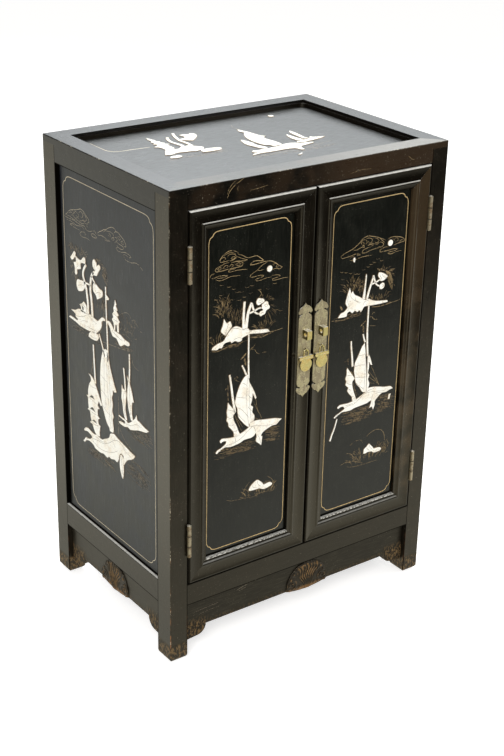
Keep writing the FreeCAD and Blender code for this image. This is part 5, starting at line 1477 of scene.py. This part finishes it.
def carving(u, v):
    """Height of the carving, 0 to 1. Ribs: a cosine of the angle about a point below, for the
    fan in the middle. Scrolls: a cosine of distance minus angle about two eyes. Beads: a cosine
    of the angle along the arch. Leaves: a cosine along the foot."""
    angle, away = np.arctan2(u, v - 30.0), np.hypot(u, v - 30.0)
    inside = 1.0 / (1.0 + np.exp((np.abs(angle) - 0.5) * 30.0))
    ribs = swell((angle + 0.05 * np.sin(away * 0.22)) * 2 * np.pi / 0.12) ** 0.6
    fan = inside * ribs * np.clip((61.0 - away) / 5.0, 0, 1)
    side = np.abs(u)
    ring, turn = np.hypot(side - 30.0, v - 56.0), np.arctan2(v - 56.0, side - 30.0)
    scroll = swell(2 * np.pi * ring / 5.2 - turn) ** 0.7 * np.clip((12.0 - ring) / 3.0, 0, 0.7)
    arch, along = np.hypot(u, v - 49.7), np.arctan2(u, v - 49.7)
    beads = np.exp(-((arch - 36.5) / 2.4) ** 2) * (0.55 + 0.45 * np.cos(along * 22.0))
    leaves = np.exp(-((v - 46.5) / 3.0) ** 2) * swell(u * 2 * np.pi / 7.5) * (arch < 40.0)
    chisel = 0.06 * np.sin(u * 2.9 + v * 1.7) * np.sin(v * 3.3 - u * 1.1)
    highest = np.maximum.reduce([fan, scroll * (1 - inside), beads, leaves * 0.8])
    return np.clip(0.1 + highest * 0.85 + chisel, 0.0, 1.0)


def carve_boss(name, face, material):
    """A grid of columns and rows from the lower arc to the arch, as high as the carving; its
    outermost points are sunk under the face."""
    t = np.linspace(0.0, 1.0, rows)[:, None]
    u = np.linspace(-0.985, 0.985, columns)[None] * arch_half
    low = arc_heights(u, arch_dip, arch_foot, arch_half, -1.0) + 0.5
    high = arc_heights(u, arch_top, arch_foot, arch_half, 1.0)
    v = low + (high - low) * t
    u = np.broadcast_to(u, v.shape)
    tone = carving(u, v)
    height = 0.15 + boss_deep * tone
    height[[0, -1]], height[:, [0, -1]] = -boss_sunk, -boss_sunk
    index = np.arange(rows * columns).reshape(rows, columns)
    quads = np.stack([index[:-1, :-1], index[:-1, 1:], index[1:, 1:], index[1:, :-1]], -1).reshape(-1, 4)
    points = face.place(np.stack([u.ravel(), v.ravel()], 1), height.ravel())
    make_piece(name, points, quads.tolist(), material, "carcase", True, "tone", tone.ravel())
    print(name, len(quads), "faces, from", round(float(v.min()), 1), "to", round(float(v.max()), 1))


def carved_wood():
    """Lacquer that is left in the hollows and rubbed to gold-brown wood on the heights."""
    f = Finish("carved_wood")
    cloud, fine = f.noise(9.0, 4.0), f.noise(1.3, 3.0)
    high = (f.on_points("tone") * 0.7 + (cloud - 0.5) * 1.3 + (fine - 0.5) * 0.8).fade(0.42, 0.82)
    bare_edge = f.z.fade(51.0, 42.0) * (cloud * 0.6 + fine * 0.5).fade(0.45, 0.6)
    colour = f.mix(high * 0.7, paint(15, 10, 6), paint(134, 102, 62))
    colour = f.mix(bare_edge * 0.8, colour, paint(150, 108, 62))
    return f.surface(base_color=colour, roughness=0.38 + 0.25 * high, specular_tint=(1.0, 0.86, 0.66, 1.0),
                     normal=f.bump(fine + cloud, 0.25))


carved = carved_wood()
carve_boss("front_carving", Face((boss_right, apron_y - boss_out, 0), (1, 0, 0), (0, 0, 1)), carved)
carve_boss("left_carving", Face((-apron_x - boss_out, middle_y, 0), (0, -1, 0), (0, 0, 1)), carved)
carve_boss("right_carving", Face((apron_x + boss_out, middle_y, 0), (0, 1, 0), (0, 0, 1)), carved)
